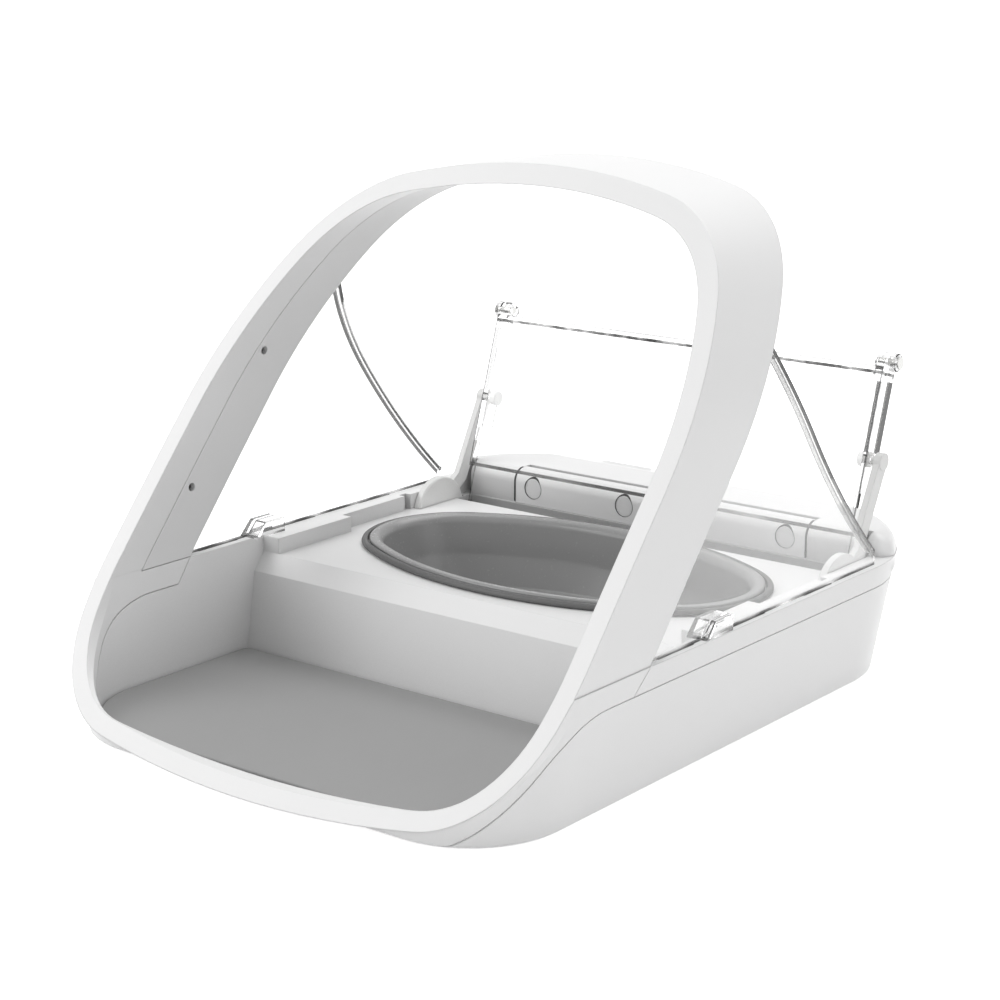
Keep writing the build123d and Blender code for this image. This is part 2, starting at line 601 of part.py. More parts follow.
def upper_deck():
    """Rails, ledges, bowl platform, riser, bay walls, lid well and rear deck in one moulding."""
    deck = deck_hull() & hoop_slab(HOOP_DEPTH + SEAM_GAP, DEPTH * 2)
    # Room over the platform, between the rails, with the two ledges left standing.
    room = block(-RAIL_INNER, RAIL_INNER, PLATFORM_FRONT - 0.1, DRUM_FRONT, PLATFORM_Z, DECK_TOP)
    for side in (1, -1):
        x0, x1 = sorted((side * (RAIL_INNER - LEDGE_WIDTH), side * (RAIL_INNER + 1)))
        room = room - block(x0, x1, 0, LEDGE_END, 0, RAIL_TOP)
    deck = deck - room
    # The bay's walls, floor and riser hang below the deck.
    tub = bay_block(-FLOOR_SKIN, FLOOR_Z - FLOOR_SKIN, SEAM_Z + 1)
    tub = tub & base_prism(WALL + HOUSING_FIT, FOOT_HEIGHT, RAIL_TOP)
    tub = tub & (seam_zone(0) + hoop_slab(HOOP_DEPTH + SEAM_GAP, DEPTH * 2))
    tub = tub & side_prism(
        [
            (0, FLOOR_Z - FLOOR_SKIN),
            (RISER_FOOT + RISER_SKIN, FLOOR_Z - FLOOR_SKIN),
            (RISER_TOP + RISER_SKIN, RISER_TOP_Z),
            (PLATFORM_FRONT + RISER_SKIN, SEAM_Z + 1),
            (0, SEAM_Z + 1),
        ],
        -WIDTH,
        WIDTH,
    )
    # The well that the lid's tail swings through, closed round its underside.
    well = sector(WELL_INNER - WELL_WALL, WELL_OUTER + WELL_WALL, -80, 30, -WELL_HALF, WELL_HALF)
    well = well & block(-FAR, FAR, 0, DRUM_FRONT + 3, 0, SEAM_Z + 1)
    # The bowl's well.
    pocket = bowl_pocket(BOWL_WELL_CLEAR + WALL, SEAM_Z + 1) & block(-FAR, FAR, 0, FAR, 0, SEAM_Z + 1)
    deck = deck + tub + well + pocket
    deck = deck - BAY - bowl_pocket(BOWL_WELL_CLEAR, PLATFORM_Z + 1)
    deck = deck - sector(WELL_INNER, WELL_OUTER, -73, 100, -WELL_HALF, WELL_HALF)
    # Room inside the rear deck for the cells and the board.
    inside = COVER_HALF + 4
    deck = deck - block(-inside, inside, COVER_BACK - 1.5, DEPTH - 10, 0, DECK_TOP - DECK_ROOF)
    for side in (1, -1):
        pocket_x = sorted((side * (DISC_INNER - 0.4), side * (ARM_OUTER + RUN)))
        deck = deck - rod_x(pocket_x[0], pocket_x[1], HUB_Y, HUB_Z, DISC_RADIUS + 0.5)
        arm_back = ARM_KNEE[0] + ARM_WIDTH / 2 + ARM_SLOT_BACK
        deck = deck - block(pocket_x[0], pocket_x[1], HUB_Y, arm_back, PLATFORM_Z, DECK_TOP + 1)
        gear_x = sorted((side * (ARM_OUTER - 0.5), side * (BUSH_START - RUN)))
        deck = deck - rod_x(gear_x[0], gear_x[1], HUB_Y, HUB_Z, GEAR_MODULE * (GEAR_TEETH / 2 + 1) + 0.3)
        block_x = sorted((side * BUSH_START, side * (BUSH_START + BUSH_LENGTH)))
        cheek = block(block_x[0], block_x[1], HUB_Y - 8, HUB_Y + 8, HUB_Z - 7.5, SEAM_Z + 1)
        deck = deck + (cheek & base_prism(WALL + HOUSING_FIT, 0, RAIL_TOP))
        deck = deck - rod_x(side * (BUSH_START - 1), side * (STUB_END + 0.3), HUB_Y, HUB_Z, BUSH_OUTER)
        deck = deck - tab_slots(side, TAB_CLEAR, RAIL_TOP - TAB_DEPTH - 0.4)
    motor_x = WORM_X + MOTOR_SIZE[0] / 2 - MOTOR_OFFSET
    saddle = block(motor_x - MOTOR_SIZE[0], motor_x, MOTOR_FRONT + 2, MOTOR_FRONT + MOTOR_SIZE[1] - 2,
                   WORM_Z + MOTOR_SIZE[2] / 2 + RUN, SEAM_Z + 1)
    deck = deck + saddle
    for x, y in boss_places():
        post = rod_z(BOSS_SPLIT + 0.2, SEAM_Z + 1, x, y, BOSS_RADIUS - 0.4)
        deck = deck + (post & base_prism(WALL + HOUSING_FIT, 0, RAIL_TOP))
        deck = deck - rod_z(BOSS_SPLIT - 1, SCREW_TIP + 1, x, y, SCREW_RADIUS + 0.05)
    deck = deck - cover_seat()
    for side in (1, -1):
        notch_x = sorted((side * (RAIL_INNER - 0.5), side * (RAIL_INNER + RAIL_NOTCH_DEPTH)))
        deck = deck - block(notch_x[0], notch_x[1], *RAIL_NOTCH, PLATFORM_Z, RAIL_TOP + 1)
    return deck


def bowl_pocket(clear, top):
    """The bowl's tapered body, grown by clear: the well that it drops into."""
    plan = bowl_plan(BOWL_LIP - clear)
    low = BOWL_FLOOR_Z - clear
    body = extrude(Pos(0, 0, PLATFORM_Z) * plan, amount=-(PLATFORM_Z - low), taper=BOWL_DRAFT)
    if top > PLATFORM_Z:
        body = body + extrude(Pos(0, 0, PLATFORM_Z) * plan, amount=top - PLATFORM_Z)
    return body


def cover_profile(skin_in, back):
    """(y, z) outline of the drum cover's section, with its inside skin_in below the deck's surface."""
    front, top = DRUM_FRONT + skin_in, DECK_TOP - skin_in
    turn = DRUM_ROUND - skin_in
    corner = (front + turn * (1 - cos(radians(45))), top - turn * (1 - sin(radians(45))))
    return [(front, PLATFORM_Z), (front, top - turn), corner, (front + turn, top), (back, top)]


def cover_solid(skin_in, back, half, foot):
    """A drum-shaped slice with the deck's own rounded brow."""
    start, low, corner, high, end = cover_profile(skin_in, back)
    edges = [
        Line((start[0], foot), low),
        ThreePointArc(low, corner, high),
        Line(high, end),
        Line(end, (back, foot)),
        Line((back, foot), (start[0], foot)),
    ]
    face = make_face(Plane.YZ * Curve(edges))
    return extrude(face, amount=half, both=True)


def cover_seat():
    """The recess in the deck for the drum cover, and the slot behind its top edge."""
    seat = cover_solid(-1, COVER_BACK, COVER_HALF, PLATFORM_Z)
    slot_back = COVER_BACK + SLOT_WIDTH
    slot = block(-COVER_HALF, COVER_HALF, COVER_BACK - 0.1, slot_back, DECK_TOP - SLOT_DEPTH, DECK_TOP + 1)
    return seat + slot


def drum_cover():
    """The removable cover of the rear deck: a thin rounded shell with four cap holes."""
    cover = cover_solid(0, COVER_BACK - 0.2, COVER_HALF - 0.4, PLATFORM_Z + 0.2)
    cover = cover - cover_solid(COVER_SKIN, COVER_BACK + 1, COVER_HALF - COVER_SKIN, PLATFORM_Z - 1)
    for x in CAP_POSITIONS:
        cover = cover - rod_y(DRUM_FRONT - 2, DRUM_FRONT + COVER_SKIN + 1, x, CAP_Z, CAP_DIAMETER / 2 + 0.15)
    return cover


def cover_caps():
    """Four round plugs over the drum cover's screws."""
    caps = []
    for x in CAP_POSITIONS:
        cap = rod_y(DRUM_FRONT + 0.3, DRUM_FRONT + COVER_SKIN + 0.2, x, CAP_Z, CAP_DIAMETER / 2)
        caps.append(cap)
    return Compound(children=[solid for cap in caps for solid in cap.solids()])


# ---------------------------------------------------------------- bowl and mat
def food_bowl():
    """The oval bowl with its broad lip."""
    lip_plan = bowl_plan(SEAL_WIDTH)
    lip_low = PLATFORM_Z + 0.3
    lip = extrude(Pos(0, 0, lip_low) * lip_plan, amount=BOWL_RIM_Z - lip_low)
    lip = chamfer(lip.faces().sort_by(Axis.Z)[-1].edges(), 1.0)
    body = bowl_pocket(0, PLATFORM_Z + 1)
    plan = bowl_plan(BOWL_LIP + BOWL_WALL)
    depth = BOWL_RIM_Z - BOWL_FLOOR_Z - BOWL_WALL
    hollow = extrude(Pos(0, 0, BOWL_RIM_Z) * plan, amount=-depth, taper=BOWL_DRAFT * 0.9)
    return lip + body - hollow


def bowl_seal():
    """The soft ring round the bowl's lip."""
    ring = bowl_plan(0) - bowl_plan(SEAL_WIDTH)
    height = BOWL_RIM_Z - PLATFORM_Z - 0.9
    return extrude(Pos(0, 0, PLATFORM_Z + 0.3) * ring, amount=height)


def food_mat():
    """The soft mat on the bay floor."""
    plan = bay_plan(MAT_CLEAR, RISER_FOOT - MAT_CLEAR)
    return extrude(Pos(0, 0, FLOOR_Z + 0.1) * plan, amount=MAT_THICK)


# ---------------------------------------------------------------- side shields
def side_shield(side):
    """A clear side panel with a curved flanged edge, three tabs and a small hood."""
    y0 = front_y(RAIL_TOP) + HOOP_DEPTH
    low = RAIL_TOP + 0.1
    top = (front_y(SHIELD_TOP_Z) + HOOP_DEPTH - SHIELD_OVERLAP, SHIELD_TOP_Z)
    edge = SagittaArc(top, SHIELD_END, -SHIELD_SAG)
    outline = [
        edge,
        Line(SHIELD_END, (SHIELD_END[0], low)),
        Line((SHIELD_END[0], low), (y0 - 20, low)),
        Line((y0 - 20, low), top),
    ]
    face = make_face(Plane.YZ * Curve(outline))
    behind_hoop = hoop_slab(HOOP_DEPTH + SEAM_GAP / 2, DEPTH * 2)
    outer, inner = (hoop_prism(SHIELD_INSET + depth, 0) for depth in (0, SHIELD_THICK))
    panel = (outer - inner) & extrude(face, amount=WIDTH, dir=(1, 0, 0))
    middle = edge @ 0.5
    inward = (edge % 0.5).rotate(Axis.Z, -90)
    shift = (inward.X * SHIELD_FLANGE_THICK, inward.Y * SHIELD_FLANGE_THICK)
    inner_points = [(p[0] + shift[0], p[1] + shift[1]) for p in (top, (middle.X, middle.Y), SHIELD_END)]
    strip = [
        edge,
        Line(SHIELD_END, inner_points[2]),
        ThreePointArc(inner_points[2], inner_points[1], inner_points[0]),
        Line(inner_points[0], top),
    ]
    strip_face = make_face(Plane.YZ * Curve(strip))
    flange = extrude(strip_face, amount=WIDTH, dir=(1, 0, 0))
    flange = flange & (outer - hoop_prism(SHIELD_INSET + SHIELD_FLANGE, 0))
    shield = (panel + flange) & behind_hoop
    shield = shield + tab_slots(1, 0, RAIL_TOP - TAB_DEPTH)
    hood = side_prism(
        [
            (HOOD_Y[0], low),
            (HOOD_Y[1], low),
            (HOOD_Y[1], low + HOOD_HEIGHT),
            (HOOD_Y[0] + HOOD_SLOPE, low + HOOD_HEIGHT),
        ],
        HOOD_X[0],
        HOOD_X[1],
    )
    hollow = side_prism(
        [
            (HOOD_Y[0] + 2, low - 1),
            (HOOD_Y[1] + 1, low - 1),
            (HOOD_Y[1] + 1, low + HOOD_HEIGHT - HOOD_WALL),
            (HOOD_Y[0] + HOOD_SLOPE + 0.6, low + HOOD_HEIGHT - HOOD_WALL),
        ],
        HOOD_X[0] + HOOD_WALL,
        HOOD_X[1] - HOOD_WALL,
    )
    shield = shield + (hood - hollow)
    if side < 0:
        shield = mirror(shield, about=Plane.YZ)
    return shield


# ---------------------------------------------------------------- lid
def lid_panel():
    """The clear lid: a sheet with two side flanges and a boss at each front corner."""
    half_sheet = LID_SHEET / 2
    lid = lid_plate(-LID_TAIL, LID_REACH, -half_sheet, half_sheet, -LID_HALF, LID_HALF)
    bead = lid_plate(LID_REACH - 2.5, LID_REACH, half_sheet - 0.2, half_sheet + 1.6, -LID_HALF, LID_HALF)
    lid = lid + bead
    y, z = lid_point(ROLLER_REACH, ROLLER_BEHIND)
    pin_y, pin_z = lid_point(PIN_REACH, PIN_BEHIND)
    for side in (1, -1):
        x0, x1 = sorted((side * (LID_HALF - FLANGE_THICK), side * LID_HALF))
        flange = lid_plate(FLANGE_FROM, ROLLER_REACH, half_sheet - 0.2, FLANGE_DEPTH, x0, x1)
        head = rod_x(x0, x1, y, z, ROLLER_RADIUS)
        boss = rod_x(side * (LID_HALF - FLANGE_THICK - 2.6), side * LID_HALF, y, z, ROLLER_RADIUS)
        web_x = sorted((side * (LID_HALF - 4.6), side * LID_HALF))
        web = lid_plate(LID_REACH - 6, ROLLER_REACH, 0, ROLLER_BEHIND, *web_x)
        lid = lid + flange + head + boss + web
        lid = lid - rod_x(side * (LID_HALF - 9), side * (LID_HALF + 1), y, z, AXLE_RADIUS + 0.02)
        lid = lid - rod_x(side * (LID_HALF - 4), side * (LID_HALF + 1), pin_y, pin_z, PIN_RADIUS + 0.1)
    return lid


def roller(side):
    """A small wheel on the lid's front corner."""
    y, z = lid_point(ROLLER_REACH, ROLLER_BEHIND)
    x0 = side * (LID_HALF + 0.4)
    x1 = side * (LID_HALF + 0.4 + ROLLER_WIDTH)
    wheel = rod_x(x0, x1, y, z, ROLLER_RADIUS)
    wheel = chamfer(wheel.edges().filter_by(GeomType.CIRCLE), 0.4)
    return wheel - rod_x(side * (LID_HALF - 1), side * (LID_HALF + 8), y, z, ROLLER_BORE)


def roller_axles():
    """The two headed pins that the rollers turn on."""
    y, z = lid_point(ROLLER_REACH, ROLLER_BEHIND)
    pins = []
    for side in (1, -1):
        end = LID_HALF + 0.4 + ROLLER_WIDTH + 0.15
        pin = rod_x(side * (LID_HALF - 4.4), side * (end + 0.7), y, z, AXLE_RADIUS)
        pin = pin + rod_x(side * end, side * (end + 0.7), y, z, AXLE_RADIUS + 0.9)
        pins.append(pin)
    return Compound(children=[solid for pin in pins for solid in pin.solids()])


def lid_arm(side):
    """A white arm: hub disc and stub axle below, elbow and headed pin above."""
    pin_y, pin_z = lid_point(PIN_REACH, PIN_BEHIND)
    x0 = ARM_OUTER - ARM_THICK
    disc = rod_x(DISC_INNER, ARM_OUTER, HUB_Y, HUB_Z, DISC_RADIUS)
    disc = chamfer(disc.edges().filter_by(GeomType.CIRCLE).sort_by(Axis.X)[0], 0.6)
    knee_y, knee_z = ARM_KNEE
    limb_parts = []
    for (ya, za, wa), (yb, zb, wb) in (
        ((pin_y, pin_z, ARM_WIDTH / 2), (knee_y, knee_z, ARM_WIDTH / 2)),
        ((knee_y, knee_z, ARM_WIDTH / 2), (HUB_Y + 4, HUB_Z + 5, ARM_WIDTH / 2)),
    ):
        length = hypot(yb - ya, zb - za)
        ny, nz = -(zb - za) / length, (yb - ya) / length
        points = [
            (ya + ny * wa, za + nz * wa),
            (yb + ny * wb, zb + nz * wb),
            (yb - ny * wb, zb - nz * wb),
            (ya - ny * wa, za - nz * wa),
        ]
        limb_parts.append(side_prism(points, x0, ARM_OUTER))
        limb_parts.append(rod_x(x0, ARM_OUTER, ya, za, wa))
    arm = disc + join(limb_parts)
    arm = arm + rod_x(x0, ARM_OUTER + 0.2, pin_y, pin_z, ARM_WIDTH / 2 + 0.5)
    flange_inside = LID_HALF - FLANGE_THICK
    arm = arm + rod_x(flange_inside - 1.5, x0 + 0.5, pin_y, pin_z, PIN_RADIUS)
    arm = arm + rod_x(flange_inside - 3.2, flange_inside - RUN, pin_y, pin_z, PIN_HEAD_RADIUS)
    arm = arm + rod_x(ARM_OUTER - 0.5, STUB_END, HUB_Y, HUB_Z, STUB_RADIUS)
    if side < 0:
        arm = mirror(arm, about=Plane.YZ)
    return arm


def hub_bushes():
    """The plain bearings that carry the two stub axles."""
    bushes = []
    for side in (1, -1):
        x0, x1 = side * BUSH_START, side * (BUSH_START + BUSH_LENGTH)
        ring = rod_x(x0, x1, HUB_Y, HUB_Z, BUSH_OUTER - 0.05)
        bore = rod_x(side * (BUSH_START - 1), side * (STUB_END + 2), HUB_Y, HUB_Z, STUB_RADIUS + 0.06)
        bushes.append(ring - bore)
    return Compound(children=[solid for bush in bushes for solid in bush.solids()])


# ---------------------------------------------------------------- drive
def drive_gear():
    """The worm wheel on the right-hand stub axle."""
    pitch = GEAR_MODULE * GEAR_TEETH / 2
    root = pitch - 1.25 * GEAR_MODULE
    tip = pitch + GEAR_MODULE * 0.8
    step = 360 / GEAR_TEETH
    gear = rod_x(GEAR_START, GEAR_START + GEAR_WIDTH, HUB_Y, HUB_Z, root)
    half_root, half_tip = step * 0.24, step * 0.12

    def at(radius, angle):
        turn = radians(angle)
        return (HUB_Y + radius * cos(turn), HUB_Z + radius * sin(turn))

    teeth = []
    for index in range(GEAR_TEETH):
        # A gap, not a tooth, faces the worm straight below the hub.
        middle = -90 + (index + 0.5) * step
        points = [
            at(root - 0.3, middle - half_root),
            at(tip, middle - half_tip),
            at(tip, middle + half_tip),
            at(root - 0.3, middle + half_root),
        ]
        teeth.append(side_prism(points, GEAR_START, GEAR_START + GEAR_WIDTH))
    gear = gear + teeth
    return gear - rod_x(GEAR_START - 1, GEAR_START + GEAR_WIDTH + 1, HUB_Y, HUB_Z, STUB_RADIUS)


def drive_worm():
    """The worm on the motor's shaft, one thread of the wheel's tooth pitch."""
    root = WORM_PITCH_RADIUS - GEAR_MODULE
    start = HUB_Y - WORM_LENGTH / 2
    core = rod_y(start, start + WORM_LENGTH, WORM_X, WORM_Z, root)
    shaft = rod_y(MOTOR_FRONT + MOTOR_SIZE[1] + 0.3, start + 0.5, WORM_X, WORM_Z, WORM_SHAFT)
    turns = WORM_LENGTH / WORM_LEAD - 1
    path = Helix(pitch=WORM_LEAD, height=WORM_LEAD * turns, radius=root - 0.05)
    half_root, half_tip, crest = 0.42, 0.2, WORM_PITCH_RADIUS + 0.55 * GEAR_MODULE
    section = Plane.XZ * Polyline(
        (root - 0.15, -half_root), (crest, -half_tip), (crest, half_tip), (root - 0.15, half_root), close=True
    )
    thread = sweep(make_face(section), path=path, is_frenet=True)
    # The helix starts at angle 0 on +X; a crest has to stand under the hub, facing up.
    middle_turns = turns / 2
    thread = Pos(0, 0, -WORM_LEAD * turns / 2) * thread
    thread = Rot(0, 0, 90 - 360 * (middle_turns % 1)) * thread
    thread = Rot(-90, 0, 0) * Rot(0, 0, 180) * thread
    thread = Pos(WORM_X, HUB_Y, WORM_Z) * thread
    return core + shaft + thread


def drive_motor():
    """The small flat-sided gear motor that turns the worm."""
    width, length, height = MOTOR_SIZE
    x1 = WORM_X + width / 2 - MOTOR_OFFSET
    body = block(x1 - width, x1, MOTOR_FRONT, MOTOR_FRONT + length, WORM_Z - height / 2, WORM_Z + height / 2)
    body = fillet(body.edges().filter_by(Axis.Y), 2.0)
    back = rod_y(MOTOR_FRONT - 1.5, MOTOR_FRONT, x1 - width / 2, WORM_Z, 2.5)
    bore = rod_y(MOTOR_FRONT + length - 4, MOTOR_FRONT + length + 1, WORM_X, WORM_Z, WORM_SHAFT + 0.2)
    return body + back - bore


# ---------------------------------------------------------------- power, board and controls
def battery_cells():
    """Four upright C cells."""
    cells = []
    for side in (1, -1):
        for x in CELL_POSITIONS:
            can = rod_z(CELL_FOOT, CELL_TOP, side * x, CELL_Y, CELL_RADIUS)
            can = can + rod_z(CELL_TOP, CELL_TOP + CELL_NUB, side * x, CELL_Y, CELL_NUB_RADIUS)
            cells.append(can)
    return Compound(children=[solid for can in cells for solid in can.solids()])


def battery_contacts():
    """The sprung plate above each pair of cells."""
    plates = []
    level = CELL_TOP + CELL_NUB + 0.05
    half = CONTACT_WIDTH / 2
    for side in (1, -1):
        x0, x1 = sorted((side * (CELL_POSITIONS[0] - half), side * (CELL_POSITIONS[1] + half)))
        plates.append(block(x0, x1, CELL_Y - half, CELL_Y + half, level, DECK_TOP - DECK_ROOF))
    return Compound(children=[solid for plate in plates for solid in plate.solids()])


def battery_springs(side):
    """Two cone springs on a battery door, drawn as thin cones."""
    springs = []
    for x in CELL_POSITIONS:
        low = FOOT_HEIGHT + DOOR_THICK
        height = CELL_FOOT - low - 0.1
        outer = Cone(SPRING_RADIUS, SPRING_TOP_RADIUS, height)
        inner = Cone(SPRING_RADIUS - SPRING_WIRE, SPRING_TOP_RADIUS - SPRING_WIRE, height)
        springs.append(Pos(side * x, CELL_Y, low + height / 2) * (outer - inner))
    return Compound(children=[solid for spring in springs for solid in spring.solids()])


def battery_door(side):
    """A plain door in the underside, held by its friction in the guide."""
    x0, x1 = sorted((side * (DOOR_X[0] + DOOR_CLEAR), side * (DOOR_X[1] - DOOR_CLEAR)))
    y0, y1 = DOOR_Y[0] + DOOR_CLEAR, DOOR_Y[1] - DOOR_CLEAR
    door = block(x0, x1, y0, y1, FOOT_HEIGHT, FOOT_HEIGHT + DOOR_THICK)
    door = fillet(door.edges().filter_by(Axis.Z), 1.5)
    return door


def circuit_board():
    """The control board with a press switch behind each button."""
    board = block(-BOARD_HALF, BOARD_HALF, BOARD_BACK - BOARD_THICK, BOARD_BACK, *BOARD_Z)
    width, depth, height = SWITCH_SIZE
    for x in BUTTON_POSITIONS.values():
        switch = Box(width, depth + 0.2, height)
        board = board + Pos(x, BOARD_BACK + depth / 2 - 0.1, BUTTON_Z) * switch
    return board


def push_button(x):
    """A round button in the back, with a flange that keeps it in its hole."""
    outside = rear_wall_y(BUTTON_Z) + BUTTON_PROUD
    inside = outside - BUTTON_LENGTH
    cap = rod_y(inside, outside, x, BUTTON_Z, BUTTON_RADIUS)
    cap = chamfer(cap.edges().filter_by(GeomType.CIRCLE).sort_by(Axis.Y)[-1], 0.8)
    return cap + rod_y(inside, inside + BUTTON_FLANGE, x, BUTTON_Z, BUTTON_RADIUS + 1)


def status_lens():
    """The light guide beside the buttons."""
    outside = rear_wall_y(BUTTON_Z) + 0.3
    return rod_y(BOARD_BACK + 0.2, outside, LENS_X, BUTTON_Z, LENS_RADIUS)


# ---------------------------------------------------------------- screws and feet
def foot_places():
    """(x, y) of the six feet."""
    return [(side * x, y) for x, y in FOOT_POSITIONS for side in (1, -1)]


def rubber_feet():
    """Six round pads set into the underside."""
    feet = [rod_z(0, FOOT_HEIGHT + FOOT_RECESS, x, y, FOOT_RADIUS) for x, y in foot_places()]
    return Compound(children=[solid for foot in feet for solid in foot.solids()])


def housing_screws():
    """Four screws that draw the deck down onto the tray."""
    screws = []
    for x, y in boss_places():
        screw = rod_z(SCREW_RECESS_Z - SCREW_HEAD, SCREW_RECESS_Z, x, y, SCREW_HEAD_RADIUS)
        screw = screw + rod_z(SCREW_RECESS_Z - 0.5, SCREW_TIP, x, y, SCREW_RADIUS)
        screws.append(screw)
    return Compound(children=[solid for screw in screws for solid in screw.solids()])


# ---------------------------------------------------------------- write
def nodes():
    """Every piece by its node name."""
    made = {
        "lower_housing": lower_housing(),
        "upper_deck": upper_deck(),
        "hoop_shell": hoop_shell(),
        "hoop_liner": hoop_liner(),
        "antenna_coil": antenna_coil(),
        "liner_screws": liner_screws(),
        "drum_cover": drum_cover(),
        "cover_caps": cover_caps(),
        "side_shield_right": side_shield(1),
        "side_shield_left": side_shield(-1),
        "food_bowl": food_bowl(),
        "bowl_seal": bowl_seal(),
        "food_mat": food_mat(),
        "lid_panel": lid_panel(),
        "lid_arm_right": lid_arm(1),
        "lid_arm_left": lid_arm(-1),
        "lid_roller_right": roller(1),
        "lid_roller_left": roller(-1),
        "roller_axles": roller_axles(),
        "hub_bushes": hub_bushes(),
        "drive_gear": drive_gear(),
        "drive_worm": drive_worm(),
        "drive_motor": drive_motor(),
        "battery_cells": battery_cells(),
        "battery_contacts": battery_contacts(),
        "battery_springs_right": battery_springs(1),
        "battery_springs_left": battery_springs(-1),
        "battery_door_right": battery_door(1),
        "battery_door_left": battery_door(-1),
        "circuit_board": circuit_board(),
        "status_lens": status_lens(),
        "rubber_feet": rubber_feet(),
        "housing_screws": housing_screws(),
    }
    for name, x in BUTTON_POSITIONS.items():
        made[name] = push_button(x)
    return made


os.makedirs("parts", exist_ok=True)
for node, shape in nodes().items():
    solids = [CENTRE_SHIFT * solid for solid in shape.solids()]
    piece = solids[0] if len(solids) == 1 else Compound(children=solids)
    export_step(piece, f"parts/{node}.step")
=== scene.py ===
import bpy
import numpy as np
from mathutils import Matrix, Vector


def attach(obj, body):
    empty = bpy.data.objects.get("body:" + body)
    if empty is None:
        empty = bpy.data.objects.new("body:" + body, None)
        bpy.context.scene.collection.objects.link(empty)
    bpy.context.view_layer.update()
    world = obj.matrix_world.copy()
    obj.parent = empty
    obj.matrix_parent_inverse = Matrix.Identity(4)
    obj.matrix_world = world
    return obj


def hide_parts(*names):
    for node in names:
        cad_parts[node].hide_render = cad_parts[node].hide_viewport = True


bl_info = {
    "name": "Microchip Pet Feeder",
    "version": (1, 0, 0),
    "blender": (4, 5, 0),
    "location": "3D View > Sidebar > Pet Feeder",
    "description": "Dresses the packed pet feeder: moulded housing, clear lid, bowl, mat and a plain studio",
    "category": "Object",
}

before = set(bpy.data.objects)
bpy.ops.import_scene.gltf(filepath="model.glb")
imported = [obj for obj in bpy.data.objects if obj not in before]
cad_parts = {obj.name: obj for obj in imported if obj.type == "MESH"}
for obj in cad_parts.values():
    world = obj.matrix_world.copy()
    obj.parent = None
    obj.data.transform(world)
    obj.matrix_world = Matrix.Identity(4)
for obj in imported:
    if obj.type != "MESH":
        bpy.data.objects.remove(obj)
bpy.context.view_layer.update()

MM = 0.001
# The pieces made here are drawn from the front toe, and the frame has y from the middle of the footprint.
TOE_TO_MIDDLE = 150.0

# ---- Bowl, mat and drum cover, in millimetres from the front toe ----
BOWL_HALF = 93.0
BOWL_FRONT = 133.5
BOWL_BACK = 242.0
BOWL_END_RADIUS = 40.0
BOWL_RIM_Z = 48.6
BOWL_FLOOR_Z = 17.0
BOWL_LIP = 7.0
BOWL_SLOPE = np.tan(np.radians(14.0))
BOWL_WALL = 2.2
BOWL_LIP_ROUND = 1.3
RING_WIDTH = 2.7
RING_GROOVE = 0.55
PLATFORM_Z = 45.5
MAT_HALF = 102.9
MAT_FRONT = 11.5
MAT_BACK = 112.0
MAT_FRONT_CORNER = 35.5
MAT_BACK_CORNER = 3.0
MAT_LOW = 6.5
MAT_THICK = 2.2
MAT_ROUND = 1.1
DRUM_FRONT = 254.0
DRUM_ROUND = 6.0
DECK_TOP = 60.5
COVER_HALF = 74.0
CAP_RADIUS = 4.5
CAP_Z = 53.0
CAP_PLACES = (-64.0, -15.0, 15.0, 64.0)
# The strips and crescents below are painted shadow in the gaps round the drum cover and its caps.
GAP_SHADOW_HALF = 0.45
GAP_SHADOW_PROUD = 0.12
GAP_SHADOW_SUNK = 0.4
CRESCENT_PROUD = 0.14
CRESCENT_SUNK = 0.3
CRESCENT_LEAST = 0.04
CRESCENT_MORE = 0.8

# ---- Lid and side shields, in millimetres in the frame ----
LID_AXIS = (83.5, 41.5)
LID_LEAN = np.radians(17.7)
LID_OFFSET = 12.1
LID_REACH = 91.5
LID_HALF = 97.6
LID_SHEET = 2.0
LID_BEAD = 2.5
LID_FOOT = 23.4
LID_CLOSE_TO_DECK = 34.0
FLANGE_DEPTH = 9.5
FLANGE_THICK = 2.0
FLANGE_PAINTED_DARK = (57.0, 86.0)
SHIELD_TOP = (21.02, 152.0)
SHIELD_END = (94.0, 58.0)
SHIELD_SAG = 5.0
SHIELD_OUTSIDE = 112.6
SHIELD_FLANGE = 5.0
SHOULDER_Z = 111.4
SHOULDER_RADIUS = 132.5
RAIL_TOP = 52.0

# ---- Studio, in metres and degrees ----
CAMERA_PLACE = (0.54721, -0.69824, 0.30907)
CAMERA_TURN = (75.489, 0.0, 38.127)
SENSOR_MM = 36.0
LAMP_PLACES = {"front": (-1.3, -1.1, 1.3), "back": (0.0, 0.9, 1.9), "side": (1.8, -0.4, 0.7)}
LAMP_SIZE = 1.6
LAMP_AIM = (0.0, 0.0, 0.08)
FLOOR_HALF = 9.0
FLOOR_GLOW = 0.82

# How far round a point the painted shade in hollows and corners reaches, in millimetres.
PAINTED_SHADE_MM = 70.0
WHITE = (1.0, 1.0, 1.0, 1.0)


# ---------------------------------------------------------------- colours and nodes
def linear(colour):
    """An sRGB hex colour as linear RGBA: each channel c becomes ((c + 0.055) / 1.055) ** 2.4, or c / 12.92
    near black."""
    parts = [int(colour[i : i + 2], 16) / 255 for i in (0, 2, 4)]
    return tuple(c / 12.92 if c <= 0.04045 else ((c + 0.055) / 1.055) ** 2.4 for c in parts) + (1.0,)


def add_node(tree, kind, inputs=None, **settings):
    """One node with its settings. An input is a value, or the socket that feeds it."""
    made = tree.nodes.new(kind)
    for name, value in settings.items():
        setattr(made, name, value)
    for name, value in (inputs or {}).items():
        if isinstance(value, bpy.types.NodeSocket):
            tree.links.new(value, made.inputs[name])
        else:
            made.inputs[name].default_value = value
    return made


